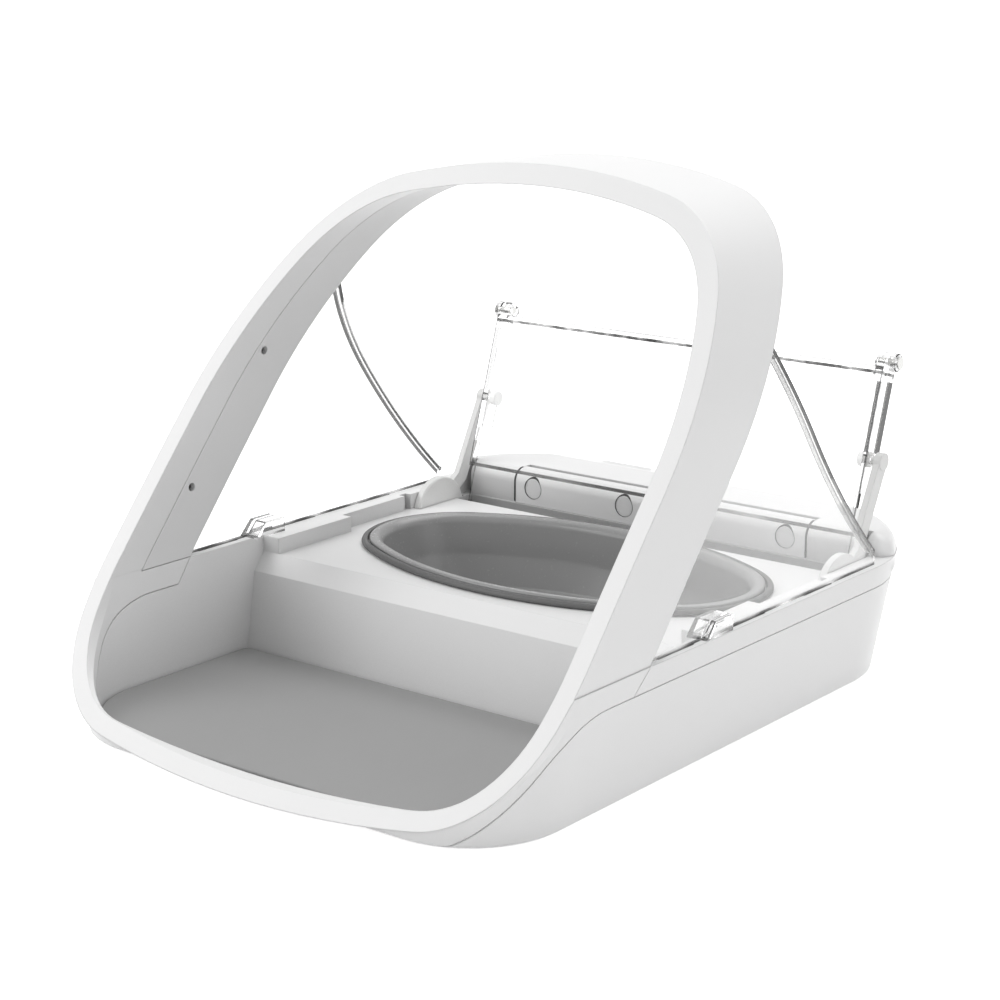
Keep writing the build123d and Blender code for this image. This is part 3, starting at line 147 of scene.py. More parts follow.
def new_material(name):
    """An empty material: its node tree, the tree's output and the place on the object."""
    material = bpy.data.materials.new(name)
    material.use_nodes = True
    tree = material.node_tree
    tree.nodes.clear()
    output = tree.nodes.new("ShaderNodeOutputMaterial")
    return material, tree, output, add_node(tree, "ShaderNodeTexCoord").outputs["Object"]


def noise(tree, place, size_mm, detail, roughness=0.5):
    """A cloud with lumps of about that size."""
    inputs = {"Vector": place, "Scale": 1000 / size_mm, "Detail": detail, "Roughness": roughness}
    return add_node(tree, "ShaderNodeTexNoise", inputs).outputs["Fac"]


def spread(tree, value, found, wanted):
    """A value moved from the range it is found in to the wanted one, and held there."""
    names = ("From Min", "From Max", "To Min", "To Max")
    inputs = {"Value": value, **dict(zip(names, (*found, *wanted)))}
    return add_node(tree, "ShaderNodeMapRange", inputs).outputs["Result"]


def bumped(tree, height, depth_mm, strength, normal=None):
    """The normal of a face whose relief has that depth."""
    inputs = {"Height": height, "Distance": depth_mm * MM, "Strength": strength}
    if normal:
        inputs["Normal"] = normal
    return add_node(tree, "ShaderNodeBump", inputs).outputs["Normal"]


def principled(tree, **inputs):
    """A Principled shader: each keyword is an input's name with _ for its spaces."""
    named = {name.replace("_", " "): value for name, value in inputs.items()}
    return add_node(tree, "ShaderNodeBsdfPrincipled", named).outputs["BSDF"]


def blend(tree, share, first, second):
    """The second shader by that share, and the first for the rest."""
    return add_node(tree, "ShaderNodeMixShader", {0: share, 1: first, 2: second}).outputs[0]


def two_tone(tree, share, first, second):
    """The second colour by that share, and the first for the rest."""
    inputs = {"Factor": share, "A": first, "B": second}
    return add_node(tree, "ShaderNodeMix", inputs, data_type="RGBA").outputs["Result"]


class Sums:
    """Arithmetic on sockets of one node tree: each call adds a Math node and returns its output."""

    def __init__(self, tree):
        self.tree = tree

    def __call__(self, kind, *values):
        return add_node(self.tree, "ShaderNodeMath", dict(enumerate(values)), operation=kind).outputs[0]

    def near(self, value, middle, half, soft=0.25):
        """1 within half of middle, falling to 0 over soft."""
        off = self("ABSOLUTE", self("SUBTRACT", value, middle))
        return spread(self.tree, off, (half, half + soft), (1.0, 0.0))

    def all_of(self, first, *others):
        """The product of several shares."""
        for other in others:
            first = self("MULTIPLY", first, other)
        return first

    def any_of(self, first, *others):
        """The largest of several shares."""
        for other in others:
            first = self("MAXIMUM", first, other)
        return first

    def millimetres(self, place):
        """The x, y and z of a place, in millimetres."""
        parts = add_node(self.tree, "ShaderNodeSeparateXYZ", {"Vector": place}).outputs
        return [self("MULTIPLY", part, 1000.0) for part in parts]

    def patchy(self, place, size_mm, low, high):
        """A share that wanders between low and high over about size_mm."""
        return spread(self.tree, noise(self.tree, place, size_mm, 1.0), (0.35, 0.65), (low, high))


def moulded(name, colour, roughness, ior, grain, edge_mm, cloud=(0.97, 45.0), painted_shade=0.0):
    """A moulded plastic or rubber: one colour with a faint cloud of the same pigment, given as its share of
    the colour and its size, then a spark-eroded grain of a size and depth, and soft edges. Sizes are in mm.
    The last argument darkens the colour in hollows and corners by up to that share: painted shade, from an
    ambient occlusion node."""
    material, tree, output, place = new_material(name)
    shade, cloud_mm = cloud
    grain_mm, grain_depth_mm = grain
    thin = tuple(channel * shade for channel in colour[:3]) + (1.0,)
    base = two_tone(tree, noise(tree, place, cloud_mm, 3.0), thin, colour)
    if painted_shade:
        # Painted shade: ambient occlusion darkens the colour in hollows and corners.
        inputs = {"Distance": PAINTED_SHADE_MM * MM}
        open_sky = add_node(tree, "ShaderNodeAmbientOcclusion", inputs, samples=8, only_local=True)
        held = spread(tree, open_sky.outputs["AO"], (0.25, 0.85), (1 - painted_shade, 1.0))
        scaled = add_node(tree, "ShaderNodeVectorMath", {0: base, "Scale": held}, operation="SCALE")
        base = scaled.outputs["Vector"]
    relief = noise(tree, place, grain_mm, 2.0, 0.6)
    gloss = spread(tree, relief, (0.3, 0.7), (roughness - 0.04, roughness + 0.04))
    edge = add_node(tree, "ShaderNodeBevel", {"Radius": edge_mm * MM}, samples=4).outputs["Normal"]
    normal = bumped(tree, relief, grain_depth_mm, 0.5, edge)
    shader = principled(tree, Base_Color=base, Roughness=gloss, IOR=ior, Normal=normal)
    tree.links.new(shader, output.inputs["Surface"])
    return material


def lid_painted_edge_lines(tree, place):
    """Where the lid gets painted dark lines, as a share, standing in for the light that its edges refract and
    reflect away: along its top bead, its side edges, the backs of its flanges, darker on the right one, and
    its foot in the drum's slot. Then where it stands so close to the drum and deck that nothing shows it,
    next to the hub. reach runs up the sheet from the hub axis, and behind runs back from the sheet's middle."""
    sums = Sums(tree)
    near = sums.near
    x, y, z = sums.millimetres(place)
    back, up = sums("SUBTRACT", y, LID_AXIS[0]), sums("SUBTRACT", z, LID_AXIS[1])
    lean, rise = np.sin(LID_LEAN), np.cos(LID_LEAN)
    reach = sums("ADD", sums("MULTIPLY", back, lean), sums("MULTIPLY", up, rise))
    across = sums("SUBTRACT", sums("MULTIPLY", back, rise), sums("MULTIPLY", up, lean))
    behind = sums("SUBTRACT", across, LID_OFFSET)
    side, right = sums("ABSOLUTE", x), sums("GREATER_THAN", x, 0.0)
    face = LID_SHEET / 2
    dashes = sums.patchy(place, 5.0, 0.35, 1.0)
    # Each painted dark line is near(where, its middle, half its width), and the last number is how dark it
    # gets.
    top = sums.all_of(near(reach, LID_REACH, 0.5), near(behind, -face, 0.8), 0.5)
    bead = sums.all_of(near(reach, LID_REACH - LID_BEAD, 0.5), dashes)
    above_foot = sums("GREATER_THAN", reach, LID_FOOT + 0.6)
    edge = sums.all_of(near(side, LID_HALF, 0.35), near(behind, -face, 0.4), above_foot, 0.75)
    inner = sums.all_of(near(side, LID_HALF - FLANGE_THICK, 0.25), near(behind, face + 0.3, 0.5), dashes, 0.6)
    low, high = FLANGE_PAINTED_DARK
    span = near(reach, (low + high) / 2, (high - low) / 2)
    rail_share = sums("ADD", sums("MULTIPLY", right, 0.6), 0.3)
    flange = near(side, LID_HALF - FLANGE_THICK / 2, 1.1)
    rail = sums.all_of(flange, near(behind, FLANGE_DEPTH - 1.5, 1.9), span, rail_share)
    stretches = sums.patchy(place, 40.0, 0.35, 0.95)
    foot = sums.all_of(near(reach, LID_FOOT, 0.6), near(behind, 0.0, 1.3), stretches)
    return sums.any_of(top, bead, edge, inner, rail, foot), sums("LESS_THAN", reach, LID_CLOSE_TO_DECK)


def shield_painted_edge_lines(tree, place):
    """Where a side shield gets painted dark lines, as a share, standing in for the light its edges turn away:
    at both corners of its curved flange, with a wider band on the right one, and along its foot.
    The curve is an arc through two ends with a given sag, and the sides follow the hoop's shoulder, an arc of
    one radius above one height. Nothing of it is unseen."""
    sums = Sums(tree)
    near = sums.near
    x, y, z = sums.millimetres(place)
    top, end = np.array(SHIELD_TOP), np.array(SHIELD_END)
    chord = np.hypot(*(end - top))
    radius = (chord**2 / 4 + SHIELD_SAG**2) / (2 * SHIELD_SAG)
    out = np.array([top[1] - end[1], end[0] - top[0]]) / chord
    centre = (top + end) / 2 + out * (radius - SHIELD_SAG)
    squares = [sums("POWER", sums("SUBTRACT", part, middle), 2.0) for part, middle in zip((y, z), centre)]
    from_arc = sums("SUBTRACT", sums("POWER", sums("ADD", *squares), 0.5), radius)
    rise = sums("MAXIMUM", sums("SUBTRACT", z, SHOULDER_Z), 0.0)
    fall = sums("SQRT", sums("SUBTRACT", SHOULDER_RADIUS**2, sums("POWER", rise, 2.0)))
    from_outside = sums("SUBTRACT", SHIELD_OUTSIDE, sums("ABSOLUTE", x))
    inwards = sums("SUBTRACT", from_outside, sums("SUBTRACT", SHOULDER_RADIUS, fall))
    right = sums("GREATER_THAN", x, 0.0)
    above = sums("GREATER_THAN", z, RAIL_TOP + 1.0)
    outer = sums.all_of(near(from_arc, 0.1, 0.5), near(inwards, 0.0, 0.9), above, 0.92)
    step_share = sums("SUBTRACT", 0.85, sums("MULTIPLY", right, 0.45))
    step = sums.all_of(near(from_arc, 1.2, 1.2), near(inwards, SHIELD_FLANGE / 2, 0.5), above, step_share)
    inner = sums.all_of(near(from_arc, 1.2, 1.0), near(inwards, SHIELD_FLANGE, 0.4), above, 0.35)
    band = sums.all_of(near(from_arc, 0.9, 1.0), near(inwards, SHIELD_FLANGE / 2, 2.5), above, right, 0.35)
    foot = sums.all_of(near(z, RAIL_TOP + 0.3, 0.45), sums.patchy(place, 18.0, 0.0, 0.9))
    return sums.any_of(outer, step, inner, band, foot), 0.0


def clear_plastic(name, colour, roughness, ior, wave, depth_loss, lines=None):
    """A clear moulding: its faces wave very slightly where the melt shrank, by a size and depth in mm, and it
    dims light by depth_loss per metre, so that long ways through it look grey. Lamps reach what is behind it.
    Where lines says, a dark shader is painted over it: painted dark edges, standing in for the light that its
    edges turn away. It adds nothing where lines says that it is unseen."""
    material, tree, output, place = new_material(name)
    wave_mm, wave_depth_mm = wave
    normal = bumped(tree, noise(tree, place, wave_mm, 1.0), wave_depth_mm, 1.0)
    through = add_node(tree, "ShaderNodeBsdfTransparent", {"Color": WHITE}).outputs[0]
    shader = principled(
        tree,
        Base_Color=colour,
        Roughness=roughness,
        IOR=ior,
        Transmission_Weight=1.0,
        Specular_IOR_Level=0.2,
        Normal=normal,
    )
    if lines:
        edges, unseen = lines(tree, place)
        # Painted dark edges: a dark grey shader stands in for the light that the edges turn away.
        dark = principled(tree, Base_Color=linear("3A3A3A"), Roughness=0.25, IOR=ior)
        shader = blend(tree, edges, blend(tree, unseen, shader, through), dark)
    rays = add_node(tree, "ShaderNodeLightPath").outputs
    lamp_ray = Sums(tree)("MAXIMUM", rays["Is Shadow Ray"], rays["Is Diffuse Ray"])
    tree.links.new(blend(tree, lamp_ray, shader, through), output.inputs["Surface"])
    # A mid-grey absorption takes half its density away, hence twice the loss.
    inputs = {"Color": (0.5, 0.5, 0.5, 1.0), "Density": depth_loss * 2}
    depth = add_node(tree, "ShaderNodeVolumeAbsorption", inputs)
    tree.links.new(depth.outputs["Volume"], output.inputs["Volume"])
    return material


def metal(name, colour, roughness, streak_mm, streak_axis):
    """A bare metal: fine tool or drawing marks along one axis, seen as streaks of roughness."""
    material, tree, output, place = new_material(name)
    stretch = [1000 / streak_mm] * 3
    stretch[streak_axis] /= 12
    along = add_node(tree, "ShaderNodeMapping", {"Vector": place, "Scale": stretch}).outputs["Vector"]
    # The mapping already holds the streaks' size, so the cloud itself is one unit wide.
    streak = noise(tree, along, 1000.0, 2.0)
    gloss = spread(tree, streak, (0.0, 1.0), (roughness - 0.08, roughness + 0.1))
    normal = bumped(tree, streak, 0.01, 0.4)
    shader = principled(tree, Base_Color=colour, Metallic=1.0, Roughness=gloss, Normal=normal)
    tree.links.new(shader, output.inputs["Surface"])
    return material


def sleeved(name, sleeve, bare, low_mm, high_mm, roughness):
    """A metal can in a plastic sleeve: the sleeve between two heights, and bare metal above and below it."""
    material, tree, output, place = new_material(name)
    sums = Sums(tree)
    height = sums.millimetres(place)[2]
    end = sums("MAXIMUM", sums("LESS_THAN", height, low_mm), sums("GREATER_THAN", height, high_mm))
    gloss = spread(tree, noise(tree, place, 3.0, 4.0), (0.0, 1.0), (roughness - 0.08, roughness + 0.08))
    shader = principled(tree, Base_Color=two_tone(tree, end, sleeve, bare), Metallic=end, Roughness=gloss)
    tree.links.new(shader, output.inputs["Surface"])
    return material


# ---------------------------------------------------------------- surfaces
def oval_path(half, y0, y1, end_radius, steps=192):
    """A four-centred oval as (centres, radii, normals): at normal angle a, the point is the arc's centre plus
    the arc's radius times (cos a, sin a). The end arcs are near a = 0 and 180 degrees, and the broad arcs
    between them. Their radius is (reach^2 + depth^2 - end^2) / (2 (depth - end)), so that they meet the end
    arcs without a corner."""
    middle, depth = (y0 + y1) / 2, (y1 - y0) / 2
    reach = half - end_radius
    broad = (reach**2 + depth**2 - end_radius**2) / (2 * (depth - end_radius))
    change = np.arctan2(broad - depth, reach)
    angle = np.linspace(0, 2 * np.pi, steps, endpoint=False)
    at_end = np.abs(np.sin(angle)) < np.sin(change)
    x = np.where(at_end, reach * np.sign(np.cos(angle)), 0.0)
    y = middle + np.where(at_end, 0.0, -(broad - depth) * np.sign(np.sin(angle)))
    radii = np.where(at_end, end_radius, broad)
    return np.stack([x, y], 1), radii, np.stack([np.cos(angle), np.sin(angle)], 1)


def corner_path(corners, steps=24):
    """A closed outline of quarter circles as (centres, radii, normals). Each corner is (x, y, radius, first
    angle in degrees). Its points are the centre plus the radius times (cos a, sin a), and straight edges join
    the corners."""
    x, y, radii, first = np.repeat(np.array(corners), steps, axis=0).T
    angle = np.radians(first + np.tile(np.linspace(0, 90, steps), len(corners)))
    return np.stack([x, y], 1), radii, np.stack([np.cos(angle), np.sin(angle)], 1)


def carried(path, profile):
    """A profile of (inset, shrink, z) rows carried round a path: each point moves in from the path by inset
    along its normal, and then towards the path's middle until shrink of its distance is left."""
    centres, radii, normals = path
    inset, shrink, z = np.asarray(profile, float).T
    flat = centres[None] + (radii[None] - inset[:, None])[..., None] * normals[None]
    middle = np.array([0.0, (flat[0, :, 1].min() + flat[0, :, 1].max()) / 2])
    flat = middle + shrink[:, None, None] * (flat - middle)
    height = np.broadcast_to(z[:, None, None], flat.shape[:2] + (1,))
    return np.concatenate([flat, height], axis=2)


def round_off(points, radius, steps=6):
    """A profile with each corner rounded to about that radius by a quadratic curve: (1-t)^2 of a point on one
    side, 2t(1-t) of the corner and t^2 of a point on the next side. Both points lie the radius away, or just
    under half the side where that is less."""
    points = np.asarray(points, float)
    corner = points[1:-1]

    def on_side(side):
        length = np.linalg.norm(side, axis=1)
        return corner + side * (np.minimum(radius, length / 2.01) / length)[:, None]

    start, end = on_side(points[:-2] - corner), on_side(points[2:] - corner)
    t = np.linspace(0, 1, steps)[None, :, None]
    curve = (1 - t) ** 2 * start[:, None] + 2 * t * (1 - t) * corner[:, None] + t**2 * end[:, None]
    return np.concatenate([points[:1], curve.reshape(-1, points.shape[1]), points[-1:]])


def surface(name, grid, loop_rows=False, caps=False):
    """A mesh object from a grid of points, rows by columns. The columns close on themselves. With loop_rows
    the rows close too, and with caps the first and last rows are closed with a fan about their middle
    point."""
    rows, columns = grid.shape[:2]
    points = grid.reshape(-1, 3)
    i, j = np.meshgrid(np.arange(rows if loop_rows else rows - 1), np.arange(columns), indexing="ij")
    ni, nj = (i + 1) % rows, (j + 1) % columns
    corners = [i * columns + j, i * columns + nj, ni * columns + nj, ni * columns + j]
    faces = np.stack(corners, axis=-1).reshape(-1, 4).tolist()
    if caps:
        around = np.arange(columns)
        onward = (around + 1) % columns
        low, high = len(points), len(points) + 1
        last = (rows - 1) * columns
        points = np.concatenate([points, grid[0].mean(0)[None], grid[-1].mean(0)[None]])
        faces += np.stack([onward, around, np.full(columns, low)], axis=1).tolist()
        faces += np.stack([last + around, last + onward, np.full(columns, high)], axis=1).tolist()
    placed = (points - [0, TOE_TO_MIDDLE, 0]) * MM
    mesh = bpy.data.meshes.new(name)
    mesh.from_pydata(placed.tolist(), [], faces)
    mesh.update()
    made = bpy.data.objects.new(name, mesh)
    bpy.context.scene.collection.objects.link(made)
    mesh.polygons.foreach_set("use_smooth", np.ones(len(mesh.polygons), bool))
    mesh.set_sharp_from_angle(angle=np.radians(40))
    return made


def joined(pieces, name):
    """Several meshes as one object of that name."""
    with bpy.context.temp_override(active_object=pieces[0], selected_editable_objects=pieces):
        bpy.ops.object.join()
    pieces[0].name = pieces[0].data.name = name
    return pieces[0]


def dress(made, material, body, slot, *nodes):
    """The piece takes its material, rides on its body and stands for its CAD nodes."""
    made.data.materials.append(material)
    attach(made, body)
    if nodes:
        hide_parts(*nodes)


def finish_nodes(material, *names):
    """CAD nodes that keep their shape take this material."""
    for name in names:
        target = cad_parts[name]
        if not target.material_slots:
            target.data.materials.append(material)
        for slot in target.material_slots:
            slot.material = material


# ---------------------------------------------------------------- what a user would change
def size_setting(name, description, size_mm):
    """A length that a user can change."""
    return bpy.props.FloatProperty(name=name, description=description, default=size_mm * MM, unit="LENGTH")


def colour_setting(name, description, code):
    """A colour that a user can change."""
    return bpy.props.FloatVectorProperty(
        name=name, description=description, default=linear(code), size=4, subtype="COLOR"
    )


def number_setting(name, description, value):
    """A plain number that a user can change."""
    return bpy.props.FloatProperty(name=name, description=description, default=value)


class FeederSizes(bpy.types.PropertyGroup):
    """Sizes of the pieces that are made here."""

    bowl_wall: size_setting("Bowl wall", "Thickness of the bowl's wall", BOWL_WALL)
    bowl_lip_round: size_setting("Bowl lip rounding", "Radius of the bowl's lip", BOWL_LIP_ROUND)
    mat_round: size_setting("Mat edge rounding", "Radius of the mat's top edge", MAT_ROUND)


class FeederColours(bpy.types.PropertyGroup):
    """Colours of the feeder's finishes."""

    housing: colour_setting("Housing", "White of the mouldings", "F0F0F0")
    # The liner's white is a little darker than the housing's: painted shade for the inside of the hoop, which
    # also falls on the caps and doors.
    liner: colour_setting("Liner", "White inside the hoop", "EAEAEA")
    bowl: colour_setting("Bowl", "Grey of the bowl", "969696")
    seal: colour_setting("Seal", "Dark grey of the bowl's soft ring", "626262")
    mat: colour_setting("Mat", "Grey of the mat", "9C9C9C")


class FeederStudio(bpy.types.PropertyGroup):
    """The studio round the feeder."""

    ambient: number_setting("Ambient", "Strength of the room's even light", 0.38)
    front: number_setting("Front lamp", "Power of the lamp at the front left", 19.5)
    back: number_setting("Back lamp", "Power of the lamp over the back", 22.0)
    side: number_setting("Side lamp", "Power of the lamp on the right", 6.5)
    focal_length: number_setting("Focal length", "Of the camera, in millimetres", 84.91)


# ---------------------------------------------------------------- operators
class FEEDER_OT_studio(bpy.types.Operator):
    """Sets the floor, the even light, three soft lamps and the camera"""

    bl_idname = "feeder.studio"
    bl_label = "Studio"

    def execute(self, context):
        scene, studio = context.scene, context.scene.feeder_studio
        scene.view_settings.view_transform = "Standard"
        world = bpy.data.worlds.new("even_studio_light")
        scene.world = world
        world.use_nodes = True
        tree = world.node_tree
        tree.nodes.clear()
        light, white = (
            add_node(tree, "ShaderNodeBackground", {"Color": WHITE, "Strength": strength}).outputs[0]
            for strength in (studio.ambient, 1.0)
        )
        add_node(tree, "ShaderNodeOutputWorld", {"Surface": blend(tree, self.seen_rays(tree), light, white)})
        self.floor(scene)
        for name, place in LAMP_PLACES.items():
            self.lamp(scene, name + "_lamp", getattr(studio, name), place)
        camera = bpy.data.cameras.new("camera")
        camera.lens = studio.focal_length
        camera.sensor_width = SENSOR_MM
        holder = bpy.data.objects.new("camera", camera)
        holder.location = CAMERA_PLACE
        holder.rotation_euler = np.radians(CAMERA_TURN)
        scene.collection.objects.link(holder)
        scene.camera = holder
        return {"FINISHED"}

    def seen_rays(self, tree):
        """1 for camera, glossy and transmission rays, which show the white background, and 0 for the rest."""
        rays = add_node(tree, "ShaderNodeLightPath").outputs
        return Sums(tree).any_of(rays["Is Camera Ray"], rays["Is Glossy Ray"], rays["Is Transmission Ray"])

    def floor(self, scene):
        """A white card. What sees it directly also sees a glow, so it is white where no shadow falls."""
        material, tree, output, place = new_material("white_card")
        normal = bumped(tree, noise(tree, place, 2.0, 2.0), 0.02, 0.2)
        card = principled(tree, Base_Color=linear("EEEEEE"), Roughness=0.9, Normal=normal)
        level = Sums(tree)("MULTIPLY", self.seen_rays(tree), FLOOR_GLOW)
        glow = add_node(tree, "ShaderNodeEmission", {"Strength": level}).outputs[0]
        both = add_node(tree, "ShaderNodeAddShader", {0: card, 1: glow}).outputs[0]
        tree.links.new(both, output.inputs["Surface"])
        corners = [(-FLOOR_HALF, -FLOOR_HALF, 0), (FLOOR_HALF, -FLOOR_HALF, 0)]
        corners += [(FLOOR_HALF, FLOOR_HALF, 0), (-FLOOR_HALF, FLOOR_HALF, 0)]
        mesh = bpy.data.meshes.new("floor")
        mesh.from_pydata(corners, [], [(0, 1, 2, 3)])
        mesh.materials.append(material)
        made = bpy.data.objects.new("floor", mesh)
        scene.collection.objects.link(made)

    def lamp(self, scene, name, power, place):
        """A square soft box that faces the feeder."""
        light = bpy.data.lights.new(name, "AREA")
        light.energy, light.size = power, LAMP_SIZE
        made = bpy.data.objects.new(name, light)
        made.location = place
        made.rotation_euler = (Vector(LAMP_AIM) - Vector(place)).to_track_quat("-Z", "Y").to_euler()
        scene.collection.objects.link(made)


class FEEDER_OT_housing(bpy.types.Operator):
    """Finishes the hoop, the deck, the tray and their plugs"""

    bl_idname = "feeder.housing"
    bl_label = "Housing"

    def execute(self, context):
        colours = context.scene.feeder_colours
        housing, liner = tuple(colours.housing), tuple(colours.liner)
        # ABS, moulded in a spark-eroded tool: an even satin white whose grain only softens the highlights.
        # The real grain is about 0.05 mm, and is drawn at 0.4 mm so that it shows at all.
        grain = (0.4, 0.006)
        # The hoop, deck and tray get painted shade in their hollows and corners.
        shell = moulded("satin_moulded_abs", housing, 0.36, 1.53, grain, edge_mm=0.6, painted_shade=0.4)
        finish_nodes(shell, "hoop_shell", "upper_deck", "lower_housing")
        # The same ABS on the drum cover, which stands free and so gets no painted shade.
        cover = moulded("satin_moulded_abs_cover", housing, 0.36, 1.53, grain, edge_mm=0.4)
        finish_nodes(cover, "drum_cover")
        # ABS from a coarser tool: the hoop's inside, the caps and the doors are a little duller, and their
        # slightly darker white is painted shade for the inside of the hoop.
        # Their hollows get a lighter painted shade.
        inside = moulded("matt_moulded_abs", liner, 0.45, 1.53, grain=(0.5, 0.008), edge_mm=0.4, painted_shade=0.25)
        finish_nodes(inside, "hoop_liner", "cover_caps", "battery_door_right", "battery_door_left")
        return {"FINISHED"}


class FEEDER_OT_gap_shadows(bpy.types.Operator):
    """Makes painted shadow on the drum cover: dark strips in the gaps at its ends, and dark crescents round
    its four caps, widest at the top
    """

    bl_idname = "feeder.cover_gaps"
    bl_label = "Cover gaskets"

    def execute(self, context):
        front_z = np.linspace(PLATFORM_Z + 0.6, DECK_TOP - DRUM_ROUND, 9)
        front = np.stack([np.full(len(front_z), DRUM_FRONT), front_z], 1)
        angle = np.linspace(0, np.pi / 2, 13)[1:]
        over_y, over_z = DRUM_ROUND * (1 - np.cos(angle)), DRUM_ROUND * (1 - np.sin(angle))
        over = np.stack([DRUM_FRONT + over_y, DECK_TOP - over_z], 1)
        line = np.concatenate([front, over])
        pieces = [surface("gasket", self.seam(line, x), caps=True) for x in (COVER_HALF, -COVER_HALF)]
        pieces += [surface("gasket", self.crescent(x), loop_rows=True) for x in CAP_PLACES]
        # Painted shadow: near black and matt, so that the gaps read as dark lines.
        shadow_paint = moulded(
            "dark_foam_strip", linear("4C4C4C"), 0.8, 1.45, grain=(0.6, 0.02), edge_mm=0.05, cloud=(0.9, 45.0)
        )
        dress(joined(pieces, "cover_gaskets"), shadow_paint, "housing", "grey_rubber")
        return {"FINISHED"}

    def seam(self, line, x):
        """A flat strip of painted shadow that follows the drum's front: at each point of the (y, z) line, a
        rectangle across x that stands proud along the line's normal and is sunk the other way."""
        along = np.gradient(line, axis=0)
        out = np.stack([-along[:, 1], along[:, 0]], 1) / np.linalg.norm(along, axis=1)[:, None]
        ring = []
        for side, proud in ((-1, -GAP_SHADOW_SUNK), (-1, GAP_SHADOW_PROUD), (1, GAP_SHADOW_PROUD), (1, -GAP_SHADOW_SUNK)):
            spot = line + out * proud
            ring.append(np.stack([np.full(len(line), x + side * GAP_SHADOW_HALF), spot[:, 0], spot[:, 1]], 1))
        return np.stack(ring, axis=1)

    def crescent(self, x):
        """A ring of painted shadow round a cap, laid on the drum's front: its inner radius is the cap's, and
        its outer one is wider by the least width and by a further share, which is the cube of the sine of the
        angle above the middle, so that it is widest at the top."""
        turn = np.linspace(0, 2 * np.pi, 64, endpoint=False)
        outer = CAP_RADIUS + CRESCENT_LEAST + CRESCENT_MORE * np.clip(np.sin(turn), 0, 1) ** 3
        rows = []
        for radius, proud in (
            (CAP_RADIUS, -CRESCENT_SUNK),
            (CAP_RADIUS, CRESCENT_PROUD),
            (outer, CRESCENT_PROUD),
            (outer, -CRESCENT_SUNK),
        ):
            z = CAP_Z + radius * np.sin(turn)
            over = np.clip(z - (DECK_TOP - DRUM_ROUND), 0, DRUM_ROUND - 0.1)
            y = DRUM_FRONT + DRUM_ROUND - np.sqrt(DRUM_ROUND**2 - over**2) - proud
            rows.append(np.stack([x + radius * np.cos(turn), y, z], 1))
        return np.stack(rows)


